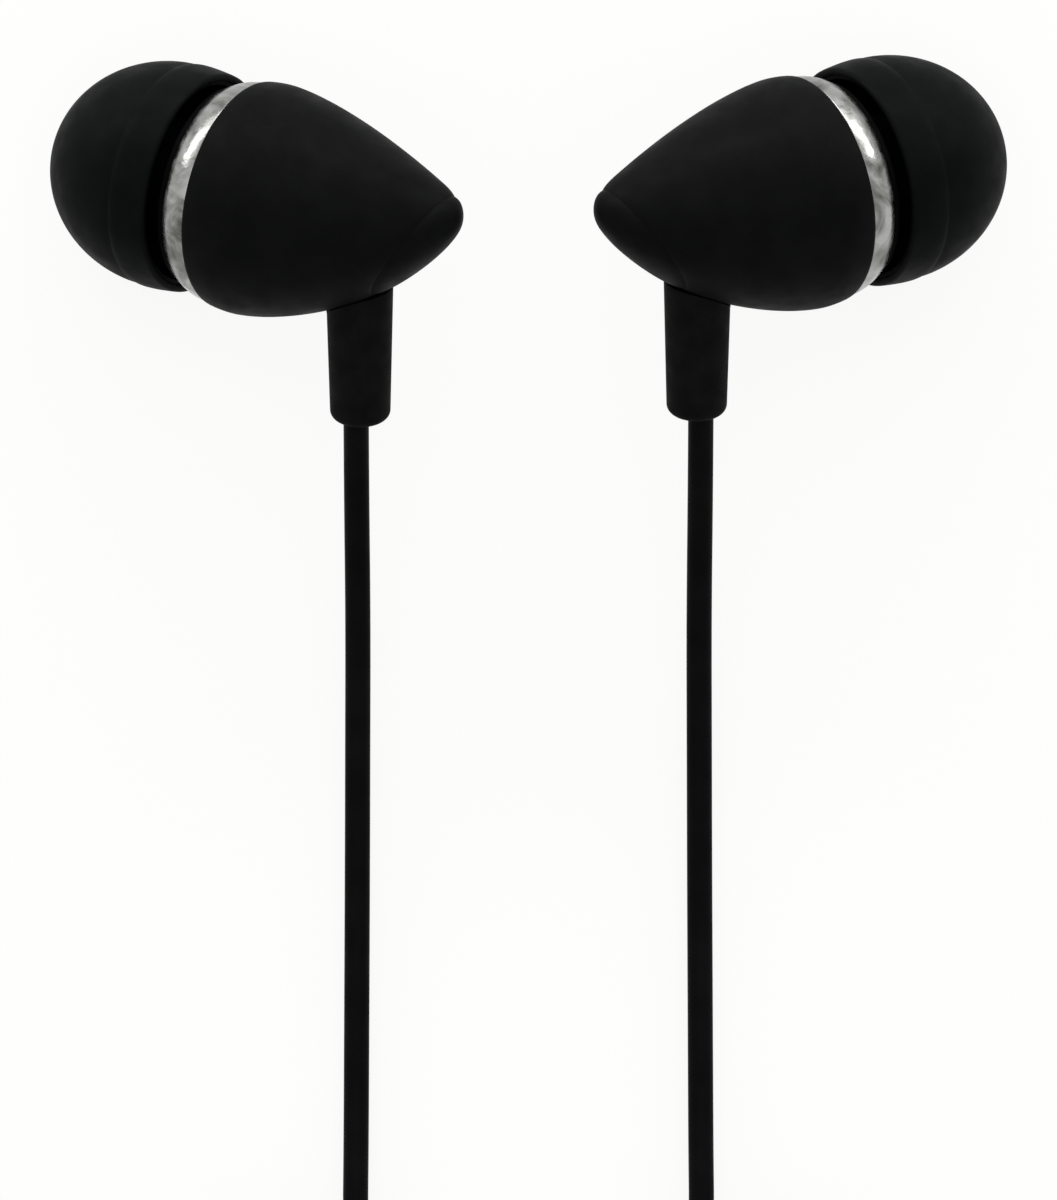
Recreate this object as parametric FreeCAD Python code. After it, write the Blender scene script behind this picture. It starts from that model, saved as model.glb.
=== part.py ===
import FreeCAD, Part
import math
import os
from FreeCAD import Placement, Rotation, Vector

# Wired earphones lying on a flat surface: two in-ear buds, their cords, a splitter,
# the main cord and a 3.5 mm stereo plug. Millimetres, +Z up, the surface is Z = 0.
# +X runs from the left bud to the right bud, and the cords run towards -Y.
#
# A bud is drawn in its own frame: X is its axis, from ear tip to tail, with X = 0 at
# the trim ring's front face, and -Z is the way its cord leaves. Radii are about X.

# How a bud lies
ring_spacing = 33.4          # between the two trim rings' front centres
ring_y = 2.86                # the left ring's front centre in Y
right_bud_lead = 0.32        # how much further up the right bud lies
tail_lift = 28.0             # degrees that the axis rises towards the tail
tail_dip = 15.7              # degrees that the axis turns towards -Y

# Clearances
fit_gap = 0.05               # between two pieces pressed or snapped together
slip_gap = 0.04              # radial, between the ear tip's bore and the nozzle's lip
seat_gap = 0.05              # between the ear tip's sleeve and its seat

# Ear tip
dome_radius = 6.15
dome_half_length = 6.8
dome_centre = -3.06
skirt_end = -1.0
skirt_wall = 0.5
sound_hole_radius = 1.9
sleeve_wall = 0.6
dome_lip_radius = 2.5
dome_lip_depth = 0.27
dome_lip_bevel = 0.25

# Front housing
nozzle_front = -8.2
nozzle_radius = 2.2
nozzle_bore = 1.65
lip_height = 0.2
lip_length = 0.9
mesh_seat_depth = 0.45
mesh_seat_width = 0.3
mesh_hole_radius = 0.34
mesh_hole_circle = 0.95
shoulder_front = -1.9
shoulder_radius = 3.2
flange_front = -0.4
flange_radius = 5.5
spigot_radius = 5.3
spigot_end = 3.2
driver_seat = 0.5
driver_seat_bore = 3.9
funnel_length = 1.4          # from the nozzle's bore to the driver's seat

# Trim ring
ring_length = 1.55
ring_front_radius = 5.7
ring_rear_radius = 6.12
ring_crown = 0.06

# Rear housing: a teardrop whose centre line bends up towards the tail
body_radius = 6.37
body_widest = 2.75
body_front_step = 0.12
tail_reach = 14.9            # from the widest place to where the teardrop would close
tail_fullness = 1.55
tail_bend = 0.0075           # rise of the centre line, per mm squared behind the widest place
body_wall = 1.15
body_sections = 6
tail_drawn = 0.9             # share of that reach that is drawn: the cap ends the body earlier

# Tail cap
cap_angle = 32.0             # degrees between the axis and the cap's outward normal
cap_cut = 3.44               # along that normal, from the seam to where the teardrop would close
cap_thickness = 0.85
cap_edge_bevel = 0.35
cap_plug_depth = 0.8
cap_seam_step = 0.12

# Strain relief
relief_setback = 8.71        # along the axis, from the relief to where the teardrop would close
relief_start = 2.0           # from the axis, inside the housing, where the sleeve is trimmed
relief_end = 11.5            # its free end, from the axis
relief_top_radius = 1.76
relief_end_radius = 1.6
relief_end_bevel = 0.4
relief_neck_radius = 1.3
relief_flange_radius = 1.85
relief_flange_thickness = 0.6
cord_offset = 0.27           # the cord's hole lies this much nearer to the ear tip

# Driver, from front to rear
gasket_thickness = 0.3
driver_radius = 4.5
cover_thickness = 0.2
cover_wall = 0.25
cover_room = 0.6             # between the cover's face and the diaphragm's travel
cover_hole_radius = 0.45
cover_hole_circle = 1.9
cover_holes = 5
diaphragm_thickness = 0.1
diaphragm_travel = 0.2
diaphragm_play = 0.08        # left over at each end of the travel
dome_rise = 0.4
roll_rise = 0.3              # of the surround outside the voice coil
roll_gap = 0.1               # between the voice coil and the surround
rim_width = 0.4              # flat, outside the surround
coil_radius = 2.33
coil_wall = 0.24
coil_depth = 1.5
magnet_gap = 0.15            # radial, each side of the voice coil
plate_thickness = 0.4
magnet_thickness = 1.1
magnet_inset = 0.1           # how much smaller the magnet's radius is than the plate's
cup_wall = 0.5
cup_floor = 0.5
cup_vent_radius = 0.5
frame_depth = 1.6
frame_step = 0.45            # the surround's room behind the diaphragm
frame_lip = 0.55
frame_vent_radius = 0.3
frame_vents = 4
felt_thickness = 0.15
felt_width = 0.8
board_length = 4.4
board_width = 2.4
board_thickness = 0.4
board_drop = 1.2             # of the board's middle below the axis
solder_radius = 0.45
solder_height = 0.4
solder_spacing = 1.3
wire_diameter = 0.3
wire_spacing = 0.48          # where the two wires leave the knot
wire_rise = 0.9

# Cords
branch_diameter = 1.38
main_diameter = 2.0
turn_gap = 0.48              # between neighbouring turns of a coil, across the section's corners
branch_turn_pairs = 3        # turns in each of a branch coil's two layers
main_turn_pairs = 5
branch_coil_radius = 10.55   # centre line of the outermost turn
main_coil_radius = 18.0
branch_coil_x = 14.4
branch_coil_y = -65.6
branch_join_angle = 35.0     # degrees above the coil's middle, where the cord joins and leaves it
main_coil_x = 6.8
main_coil_y = -108.33
main_join_angle = 45.0
knot_radius = 1.3
knot_length = 1.6
knot_shoulder = 0.5
cord_facets = 6
arc_share = 0.45             # of the shorter run, that a corner's arc takes at each end
wire_facets = 4

# Ties
tie_thickness = 0.6
tie_width = 2.0
tie_gap = 0.1
tie_corner_radius = 0.9
tie_tongue_width = 1.6
tie_tongue_length = 3.0

# Splitter
splitter_top = -72.4
splitter_length = 11.0
splitter_top_width = 5.4
splitter_end_width = 3.4
splitter_thickness = 3.0
splitter_corner_radius = 1.2
splitter_end_bevel = 0.5
splitter_cord_spacing = 2.3

# Plug, lying along +X
plug_relief_start = -8.7
plug_y = -131.0
plug_relief_length = 6.5
plug_relief_radius = 1.55
plug_relief_flare = 0.5
plug_groove_depth = 0.4
plug_groove_width = 0.9
plug_grooves = 3
plug_grip_length = 14.0
plug_grip_radius = 3.2
plug_grip_rear_radius = 2.45
plug_grip_rear_length = 2.2
plug_grip_bevel = 0.8
grip_groove_place = 4.2      # of the first groove, from the grip's rear
grip_groove_pitch = 2.0
grip_groove_width = 0.8
grip_groove_depth = 0.25
grip_grooves = 3
contact_radius = 1.75
contact_root_radius = 1.55   # inside the grip
sleeve_contact_length = 6.6
insulator_length = 0.7
insulator_bore = 0.9
ring_contact_length = 2.2
tip_contact_length = 3.8
tip_radius = 1.65
tip_neck_radius = 1.15
tip_neck_place = 0.8         # from the insulator
tip_bulge_place = 1.7
tip_nose_radius = 0.6
core_radius = 0.6
contact_root = 3.0           # how far the contacts reach into the grip

cutter_size = 30.0           # larger than a bud

origin = Vector(0, 0, 0)
along = Vector(1, 0, 0)
up = Vector(0, 0, 1)


def sine(degrees):
    return math.sin(math.radians(degrees))


def cosine(degrees):
    return math.cos(math.radians(degrees))


def axis_rise():
    """How much of a bud's axis points up."""
    return sine(tail_lift)


def ring_height():
    """Height of the ring's front centre when the ear tip's dome rests on the surface."""
    rise = axis_rise()
    reach = math.sqrt((dome_half_length * rise) ** 2 + dome_radius ** 2 * (1 - rise ** 2))
    return reach - dome_centre * rise


def bud_placement(side):
    """Where the bud on this side lies: side is -1 for the left one and 1 for the right one."""
    flat = cosine(tail_lift)
    axis = Vector(-side * flat * cosine(tail_dip), -flat * sine(tail_dip), axis_rise())
    down = Vector(0, -axis.z, axis.y).normalize()
    across = axis.cross(down)
    place = Vector(side * ring_spacing / 2, ring_y, ring_height())
    if side > 0:
        place.y += right_bud_lead
    return Placement(place, Rotation(axis, across, -down, "XZY"))


# Building blocks

def turned(outline):
    """A solid turned about X from an outline of (x, radius) points."""
    points = [Vector(x, radius, 0) for x, radius in outline]
    face = Part.Face(Part.makePolygon(points + points[:1]))
    return face.revolve(origin, along, 360)


def turned_edges(edges):
    """A solid turned about X from a closed outline of edges in the XY plane."""
    face = Part.Face(Part.Wire(Part.__sortEdges__(edges)))
    return face.revolve(origin, along, 360)


def line(start, end):
    return Part.LineSegment(start, end).toShape()


def rod(radius, start, length, direction=along):
    return Part.makeCylinder(radius, length, start, direction)


def tube(outer, inner, start, end):
    return turned([(start, inner), (start, outer), (end, outer), (end, inner)])


def rounded_box(width, depth, height, radius):
    """A block centred on the origin, with its four edges along X rounded."""
    block = Part.makeBox(width, depth, height, Vector(-width / 2, -depth / 2, -height / 2))
    edges = [e for e in block.Edges if abs(e.tangentAt(e.FirstParameter).x) > 0.9]
    return block.makeFillet(radius, edges)


# Ear tip

def dome_arc(half_length, radius, x_from, x_to):
    """Part of the dome's elliptic outline between two places on the axis."""
    centre = Vector(dome_centre, 0, 0)
    ellipse = Part.Ellipse(centre + Vector(half_length, 0, 0), centre + Vector(0, radius, 0), centre)
    angles = sorted(math.acos((x - dome_centre) / half_length) for x in (x_from, x_to))
    return Part.ArcOfEllipse(ellipse, angles[0], angles[1]).toShape()


def dome_radius_at(half_length, radius, x):
    return radius * math.sqrt(1 - ((x - dome_centre) / half_length) ** 2)


def dome_place(half_length, radius, at_radius):
    """Where the front of the dome has this radius."""
    return dome_centre - half_length * math.sqrt(1 - (at_radius / radius) ** 2)


def sleeve_bore():
    return nozzle_radius + lip_height + slip_gap


def make_ear_tip():
    inner_length = dome_half_length - skirt_wall
    inner_radius = dome_radius - skirt_wall
    sleeve_radius = sleeve_bore() + sleeve_wall
    sleeve_end = shoulder_front - seat_gap
    bore_front = nozzle_front - seat_gap
    lip = Vector(dome_place(dome_half_length, dome_radius, dome_lip_radius), dome_lip_radius, 0)
    hole = Vector(lip.x + dome_lip_depth, sound_hole_radius, 0)
    turn = Vector(lip.x, lip.y - dome_lip_bevel, 0)
    step = Vector(bore_front, sound_hole_radius, 0)
    bore = Vector(bore_front, sleeve_bore(), 0)
    end = Vector(sleeve_end, sleeve_bore(), 0)
    end_out = Vector(sleeve_end, sleeve_radius, 0)
    root = Vector(dome_place(inner_length, inner_radius, sleeve_radius), sleeve_radius, 0)
    rim_in = Vector(skirt_end, dome_radius_at(inner_length, inner_radius, skirt_end), 0)
    rim_out = Vector(skirt_end, dome_radius_at(dome_half_length, dome_radius, skirt_end), 0)
    edges = [
        dome_arc(dome_half_length, dome_radius, lip.x, skirt_end),
        line(lip, turn),
        line(turn, hole),
        line(hole, step),
        line(step, bore),
        line(bore, end),
        line(end, end_out),
        line(end_out, root),
        dome_arc(inner_length, inner_radius, root.x, skirt_end),
        line(rim_in, rim_out),
    ]
    return turned_edges(edges)


# Front housing and trim ring

def make_front_housing():
    lip_radius = nozzle_radius + lip_height
    seat_end = nozzle_front + mesh_seat_depth
    driver_bore = driver_radius + fit_gap
    outline = [
        (nozzle_front, nozzle_bore + mesh_seat_width),
        (nozzle_front, lip_radius - lip_height / 2),
        (nozzle_front + lip_height / 2, lip_radius),
        (nozzle_front + lip_length, lip_radius),
        (nozzle_front + lip_length + lip_height, nozzle_radius),
        (shoulder_front, nozzle_radius),
        (shoulder_front, shoulder_radius),
        (flange_front, flange_radius),
        (0, flange_radius),
        (0, spigot_radius),
        (spigot_end, spigot_radius),
        (spigot_end, driver_bore),
        (driver_seat, driver_bore),
        (driver_seat, driver_seat_bore),
        (driver_seat - funnel_length, nozzle_bore),
        (seat_end, nozzle_bore),
        (seat_end, nozzle_bore + mesh_seat_width),
    ]
    return turned(outline)


def make_nozzle_mesh():
    """A round grille with a ring of six-sided holes about a middle one."""
    radius = nozzle_bore + mesh_seat_width - fit_gap
    thickness = mesh_seat_depth / 2
    front = nozzle_front + mesh_seat_depth - thickness
    holes = [prism(mesh_hole_radius, Vector(front, 0, 0), thickness, 6)]
    holes += prism_ring(mesh_hole_radius, mesh_hole_circle, 6, front, thickness)
    return rod(radius, Vector(front, 0, 0), thickness).cut(Part.makeCompound(holes))


def prism(radius, start, length, sides):
    """A bar along X with a regular section."""
    corners = []
    for i in range(sides + 1):
        angle = 360 * i / sides
        corners.append(start + Vector(0, radius * cosine(angle), radius * sine(angle)))
    return Part.Face(Part.makePolygon(corners)).extrude(Vector(length, 0, 0))


def prism_ring(radius, circle, count, start, length):
    """Six-sided bars along X, evenly round a circle about the axis."""
    bars = []
    for i in range(count):
        angle = 360 * i / count
        place = Vector(start, circle * cosine(angle), circle * sine(angle))
        bars.append(prism(radius, place, length, 6))
    return bars


def make_trim_ring():
    bore = spigot_radius + fit_gap
    middle = Vector(ring_length / 2, (ring_front_radius + ring_rear_radius) / 2 + ring_crown, 0)
    front = Vector(0, ring_front_radius, 0)
    rear = Vector(ring_length, ring_rear_radius, 0)
    inner_front = Vector(0, bore, 0)
    inner_rear = Vector(ring_length, bore, 0)
    edges = [
        Part.Arc(front, middle, rear).toShape(),
        line(rear, inner_rear),
        line(inner_rear, inner_front),
        line(inner_front, front),
    ]
    return turned_edges(edges)


# Rear housing and tail cap

def teardrop_radius(x):
    if x < body_widest:
        return body_radius - body_front_step * ((body_widest - x) / (body_widest - ring_length)) ** 2
    return body_radius * (1 - ((x - body_widest) / tail_reach) ** tail_fullness)


def teardrop_rise(x):
    return tail_bend * max(x - body_widest, 0) ** 2


def teardrop(inset, front):
    """The teardrop, drawn in by inset all round, from front to near its closing point."""
    closing = tail_reach * (1 - inset / body_radius) ** (1 / tail_fullness)
    rear = body_widest + closing * tail_drawn
    stations = [front]
    for i in range(body_sections + 1):
        stations.append(body_widest + (rear - body_widest) * i / body_sections)
    wires = []
    for x in stations:
        ring = Part.Circle(Vector(x, 0, teardrop_rise(x)), along, teardrop_radius(x) - inset)
        wires.append(Part.Wire(ring.toShape()))
    return Part.makeLoft(wires, True)


def cap_normal():
    return Vector(cosine(cap_angle), 0, -sine(cap_angle))


def cap_seam():
    """How far along the cap's normal its seam lies, from the ring's front centre."""
    closing = Vector(body_widest + tail_reach, 0, teardrop_rise(body_widest + tail_reach))
    return closing.dot(cap_normal()) - cap_cut


def cap_face():
    return cap_seam() + cap_thickness


def beyond(distance, depth=cutter_size):
    """A block that starts at this distance along the cap's normal."""
    size = cutter_size
    block = Part.makeBox(depth, size, size, Vector(distance, -size / 2, -size / 2))
    block.rotate(origin, Vector(0, 1, 0), cap_angle)
    return block


def make_rear_housing():
    shell = teardrop(0, ring_length)
    hollow = teardrop(body_wall, ring_length - body_wall)
    bore = rod(spigot_radius + fit_gap, origin, spigot_end + fit_gap)
    neck = relief_neck_radius + fit_gap
    hole = rod(neck, Vector(relief_place(), 0, 0), relief_end, -up)
    shell = shell.cut(hollow)
    shell = shell.cut(bore)
    shell = shell.cut(beyond(cap_seam()))
    return shell.cut(hole)


def make_tail_cap():
    """An oval cap, a little smaller than the shell at the seam, with a plug inside the shell."""
    outer = teardrop(cap_seam_step, ring_length)
    cap = outer.common(beyond(cap_seam(), cap_thickness))
    face_edges = []
    for edge in cap.Edges:
        reach = edge.valueAt(edge.FirstParameter).dot(cap_normal())
        middle = edge.valueAt((edge.FirstParameter + edge.LastParameter) / 2).dot(cap_normal())
        if abs(reach - cap_face()) < 0.01 and abs(middle - cap_face()) < 0.01:
            face_edges.append(edge)
    cap = cap.makeChamfer(cap_edge_bevel, face_edges)
    plug = teardrop(body_wall + fit_gap, ring_length)
    plug = plug.common(beyond(cap_seam() - cap_plug_depth, cap_plug_depth))
    return cap.fuse(plug).removeSplitter()


# Strain relief and the cord inside it

def relief_place():
    return body_widest + tail_reach - relief_setback


def cord_exit():
    """Where the cord leaves the strain relief, in the bud's frame."""
    return Vector(relief_place() - cord_offset, 0, -relief_end)


def relief_floor():
    """How far below the axis the top of the relief's inner flange lies."""
    hollow_floor = teardrop_radius(relief_place()) - body_wall - teardrop_rise(relief_place())
    return hollow_floor - relief_flange_thickness


def make_strain_relief():
    """A sleeve outside the shell, a neck through its wall and a flange that holds it inside."""
    start = Vector(relief_place(), 0, -relief_start)
    length = relief_end - relief_start
    sleeve = Part.makeCone(relief_top_radius, relief_end_radius, length, start, -up)
    rim = []
    for edge in sleeve.Edges:
        if edge.Curve.TypeId == "Part::GeomCircle" and abs(edge.Curve.Center.z + relief_end) < 0.01:
            rim.append(edge)
    sleeve = sleeve.makeChamfer(relief_end_bevel, rim)
    sleeve = sleeve.cut(teardrop(0, ring_length))
    inner_top = Vector(relief_place(), 0, -relief_floor())
    neck_length = relief_flange_thickness + body_wall + relief_neck_radius
    neck = rod(relief_neck_radius, inner_top, neck_length, -up)
    flange = rod(relief_flange_radius, inner_top, neck_length, -up)
    flange = flange.common(teardrop(body_wall + fit_gap, ring_length))
    piece = sleeve.fuse([neck, flange])
    bore_start = cord_exit() - up * relief_end
    bore = rod(branch_diameter / 2 + fit_gap, bore_start, 2 * relief_end, up)
    return piece.cut(bore).removeSplitter()


def knot_centre():
    place = cord_exit()
    place.z = -relief_floor() + fit_gap + knot_length / 2
    return place


def make_cord_knot():
    """The cord inside the strain relief, and the knot that stops it above the inner flange."""
    radius = branch_diameter / 2
    stem = knot_centre().z - cord_exit().z - knot_length / 2
    outline = [
        (0, 0),
        (0, radius),
        (stem, radius),
        (stem + knot_shoulder, knot_radius),
        (stem + knot_length - knot_shoulder, knot_radius),
        (stem + knot_length, radius),
        (stem + knot_length, 0),
    ]
    knot = turned(outline)
    knot.rotate(origin, Vector(0, 1, 0), -90)
    knot.translate(cord_exit())
    return knot


# Driver

def driver_front():
    return driver_seat + gasket_thickness


def diaphragm_place():
    """The front face of the diaphragm's flat rim at rest."""
    return driver_front() + cover_room + diaphragm_play + diaphragm_travel


def frame_front():
    return diaphragm_place() + diaphragm_thickness + diaphragm_travel + diaphragm_play


def make_driver_gasket():
    return tube(driver_radius, driver_seat_bore, driver_seat, driver_front())


def make_driver_cover():
    front = driver_front()
    inner_radius = driver_radius - cover_wall
    outline = [
        (front, 0),
        (front, driver_radius),
        (frame_front(), driver_radius),
        (frame_front(), inner_radius),
        (front + cover_thickness, inner_radius),
        (front + cover_thickness, 0),
    ]
    holes = prism_ring(cover_hole_radius, cover_hole_circle, cover_holes, front, cover_thickness)
    return turned(outline).cut(Part.makeCompound(holes))


def voice_coil_outer():
    return coil_radius + coil_wall


def make_diaphragm():
    """A film with a low cone inside the voice coil and a raised surround outside it."""
    x = diaphragm_place()
    rim = driver_radius - cover_wall - fit_gap
    roll_inner = voice_coil_outer() + roll_gap
    roll_outer = rim - rim_width
    front = [
        (x - dome_rise, 0),
        (x, coil_radius),
        (x, roll_inner),
        (x - roll_rise, (roll_inner + roll_outer) / 2),
        (x, roll_outer),
        (x, rim),
    ]
    rear = [(place + diaphragm_thickness, radius) for place, radius in reversed(front)]
    return turned(front + rear)


def make_voice_coil():
    start = diaphragm_place() + diaphragm_thickness
    return tube(voice_coil_outer(), coil_radius, start, start + coil_depth)


def plate_front():
    return frame_front() + frame_step


def plate_radius():
    return coil_radius - magnet_gap


def make_driver_plate():
    return rod(plate_radius(), Vector(plate_front(), 0, 0), plate_thickness)


def magnet_front():
    return plate_front() + plate_thickness


def make_driver_magnet():
    return rod(plate_radius() - magnet_inset, Vector(magnet_front(), 0, 0), magnet_thickness)


def cup_inner():
    return voice_coil_outer() + magnet_gap


def cup_end():
    return magnet_front() + magnet_thickness + cup_floor


def make_driver_cup():
    floor = magnet_front() + magnet_thickness
    outline = [
        (plate_front(), cup_inner()),
        (plate_front(), cup_outer()),
        (cup_end(), cup_outer()),
        (cup_end(), cup_vent_radius),
        (floor, cup_vent_radius),
        (floor, cup_inner()),
    ]
    return turned(outline)


def frame_end():
    return frame_front() + frame_depth


def cup_outer():
    return cup_inner() + cup_wall


def make_driver_frame():
    """The ring round the cup, stepped for the surround, with vents through its web."""
    outline = [
        (frame_front(), driver_radius),
        (frame_end(), driver_radius),
        (frame_end(), cup_outer()),
        (plate_front(), cup_outer()),
        (plate_front(), driver_radius - frame_lip),
        (frame_front(), driver_radius - frame_lip),
    ]
    circle = (cup_outer() + driver_radius - frame_lip) / 2
    vents = prism_ring(frame_vent_radius, circle, frame_vents, frame_front(), frame_depth)
    return turned(outline).cut(Part.makeCompound(vents))


def make_vent_felt():
    inner = cup_outer() + fit_gap
    return tube(inner + felt_width, inner, frame_end(), frame_end() + felt_thickness)


def board_front():
    return cup_end()


def make_terminal_board():
    """A small board on the back of the cup, with a solder joint for each wire."""
    corner = Vector(board_front(), -board_length / 2, -board_drop - board_width / 2)
    board = Part.makeBox(board_thickness, board_length, board_width, corner)
    joints = []
    for side in (-1, 1):
        place = Vector(board_front() + board_thickness, side * solder_spacing, -board_drop)
        joints.append(prism(solder_radius, place, solder_height, 6))
    return board.fuse(joints).removeSplitter()


def make_lead_wires():
    """The two insulated conductors from the knot to the solder joints."""
    wires = []
    knot_top = knot_centre() + up * (knot_length / 2)
    end_x = board_front() + board_thickness + solder_height
    for side in (-1, 1):
        start = knot_top + Vector(0, side * wire_spacing / 2, 0)
        bend = start + up * wire_rise
        end = Vector(end_x, side * solder_spacing, -board_drop)
        before_end = end + Vector(wire_rise, 0, 0)
        path, radii = route([start, bend, before_end, end])
        wires.append(swept(path, wire_diameter, wire_facets))
    return Part.makeCompound(wires)


# Cords

def route(points):
    """Straight runs joined by tangent arcs, as large as the two runs at each point allow."""
    edges = []
    radii = []
    here = points[0]
    for before, corner, after in zip(points, points[1:], points[2:]):
        into = corner - before
        out = after - corner
        turn = into.getAngle(out)
        reach = arc_share * min(into.Length, out.Length)
        radius = reach / math.tan(turn / 2)
        first = corner - into.normalize() * reach
        last = corner + out.normalize() * reach
        bisector = (first + last) * 0.5 - corner
        centre_way = bisector.normalize()
        middle = corner + centre_way * (radius / math.cos(turn / 2) - radius)
        edges.append(line(here, first))
        edges.append(Part.Arc(first, middle, last).toShape())
        radii.append(radius)
        here = last
    edges.append(line(here, points[-1]))
    return Part.Wire(edges), radii


def corner_radius(diameter, sides):
    """Of a regular section with the area of a round one."""
    return diameter / 2 * math.sqrt(2 * math.pi / (sides * sine(360 / sides)))


def section(point, heading, diameter, sides):
    """A regular section square to the heading, with a flat below, and the area of a round one."""
    side_way = heading.cross(up)
    if side_way.Length < 0.01:
        side_way = Vector(along)
    side_way.normalize()
    top_way = side_way.cross(heading).normalize()
    radius = corner_radius(diameter, sides)
    corners = []
    for i in range(sides):
        angle = 360 * (i + 0.5) / sides
        corners.append(point + side_way * radius * sine(angle) + top_way * radius * cosine(angle))
    return Part.makePolygon(corners + corners[:1])


def section_area(diameter):
    return math.pi * diameter ** 2 / 4


def swept(path, diameter, sides):
    first = path.OrderedEdges[0]
    start = first.valueAt(first.FirstParameter)
    heading = first.tangentAt(first.FirstParameter)
    return path.makePipeShell([section(start, heading, diameter, sides)], True, False)


def tangent_arc(start, heading, end):
    """The arc that leaves start along heading and ends at end."""
    chord = end - start
    way = chord * (1 / chord.Length)
    swing = heading.getAngle(chord)
    aside = heading - way * heading.dot(way)
    middle = (start + end) * 0.5 + aside.normalize() * (chord.Length / 2 * math.tan(swing / 2))
    return Part.Arc(start, middle, end).toShape()


def half_turn(start, end, heading):
    """Half a turn from start, along heading, to end, against heading: two arcs that meet tangent."""
    reach = (end - start).Length / 2
    middle = (start + end) * 0.5 + heading * reach
    back = tangent_arc(end, heading, middle)
    halfway = back.valueAt((back.FirstParameter + back.LastParameter) / 2)
    return [tangent_arc(start, heading, middle), Part.Arc(middle, halfway, end).toShape()]


class Coil:
    """A cord wound in two layers, which joins and leaves its outermost turn at one place.

    Side, -1 or 1, names the half where that is, and angle how far above the middle. The cord
    turns inwards on the lower layer, climbs in the half turn where the spiral reverses, and
    turns outwards on the upper layer, to end above its start.
    """

    def __init__(self, centre_x, centre_y, side, angle, radius, pairs, diameter):
        height = tie_thickness + tie_gap + diameter / 2
        self.centre = Vector(centre_x, centre_y, height)
        self.out = Vector(side * cosine(angle), sine(angle), 0)
        self.heading = Vector(side * sine(angle), -cosine(angle), 0)
        self.tie_turn = side * angle
        self.radius = radius
        self.pairs = pairs
        self.diameter = diameter
        self.pitch = 2 * corner_radius(diameter, cord_facets) + turn_gap

    def before(self, distance):
        """A point on the straight line by which the cord arrives."""
        return self.centre + self.out * self.radius - self.heading * distance

    def after(self, distance):
        """A point on the straight line by which the cord leaves."""
        return self.centre + self.out * self.radius + up * self.pitch + self.heading * distance

    def path(self):
        heading = self.heading
        lower = self.centre
        upper = self.centre + up * self.pitch
        reach = [self.out * (self.radius - self.pitch * i) for i in range(self.pairs + 1)]
        edges = [line(self.before(self.diameter), self.before(0))]
        for i in range(self.pairs):
            edges += half_turn(lower + reach[i], lower - reach[i], heading)
            edges += half_turn(lower - reach[i], lower + reach[i + 1], -heading)
        edges += half_turn(lower + reach[self.pairs], upper - reach[self.pairs], heading)
        for i in range(self.pairs, 1, -1):
            edges += half_turn(upper - reach[i], upper + reach[i - 1], -heading)
            edges += half_turn(upper + reach[i - 1], upper - reach[i - 1], heading)
        edges += half_turn(upper - reach[1], upper + reach[0], -heading)
        edges.append(line(self.after(0), self.after(self.diameter)))
        return Part.Wire(edges)


def branch_coil(side):
    turns = (branch_coil_radius, branch_turn_pairs, branch_diameter)
    return Coil(side * branch_coil_x, branch_coil_y, -side, branch_join_angle, *turns)


def main_coil():
    turns = (main_coil_radius, main_turn_pairs, main_diameter)
    return Coil(main_coil_x, main_coil_y, -1, main_join_angle, *turns)


def least_gap(path, diameter):
    """The least gap, across the section's corners, between stretches that are far apart along the cord."""
    spacing = diameter / 2
    points = path.discretize(Distance=spacing)
    apart = int(6 * diameter / spacing)
    least = path.Length
    for i, point in enumerate(points):
        for other in points[i + apart:]:
            least = min(least, point.distanceToPoint(other))
    return least - 2 * corner_radius(diameter, cord_facets)


def lead_points(side):
    """The cord from the strain relief down to the surface and along it to its coil."""
    place = bud_placement(side)
    start = place.multVec(cord_exit())
    down = place.Rotation.multVec(-up)
    floor = branch_diameter / 2
    coil = branch_coil(side)
    return [
        start,
        start + down * 5.0,
        Vector(side * 9.28, -20.2, 2.12),
        Vector(side * 9.31, -27.0, 0.88),
        Vector(side * 9.33, -34.5, floor),
        Vector(side * 9.37, -43.0, floor),
        Vector(side * 9.40, -49.6, floor),
        coil.before(6.44),
        coil.before(branch_diameter),
    ]


def tail_points(side):
    """The cord from its coil to the splitter."""
    coil = branch_coil(side)
    entry_x = side * splitter_cord_spacing / 2
    height = splitter_thickness / 2
    return [
        coil.after(branch_diameter),
        coil.after(3.3),
        Vector(side * 1.3, -65.9, 2.5),
        Vector(entry_x, -70.0, height),
        Vector(entry_x, splitter_top, height),
    ]


def main_lead_points():
    """The main cord from the splitter to its coil."""
    splitter_end = splitter_top - splitter_length
    height = splitter_thickness / 2
    return [
        Vector(0, splitter_end, height),
        Vector(0, splitter_end - 4.0, height),
        main_coil().before(6.11),
        main_coil().before(main_diameter),
    ]


def main_tail_points():
    """The main cord from its coil, down to the surface beside it, to the plug."""
    return [
        main_coil().after(main_diameter),
        main_coil().after(6.0),
        Vector(-15.4, -105.6, 2.5),
        Vector(-19.9, -113.0, 1.3),
        Vector(-21.2, -120.6, 1.1),
        Vector(-18.6, -127.4, 2.0),
        Vector(-13.4, plug_y, plug_grip_radius),
        Vector(plug_relief_start, plug_y, plug_grip_radius),
    ]


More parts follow.
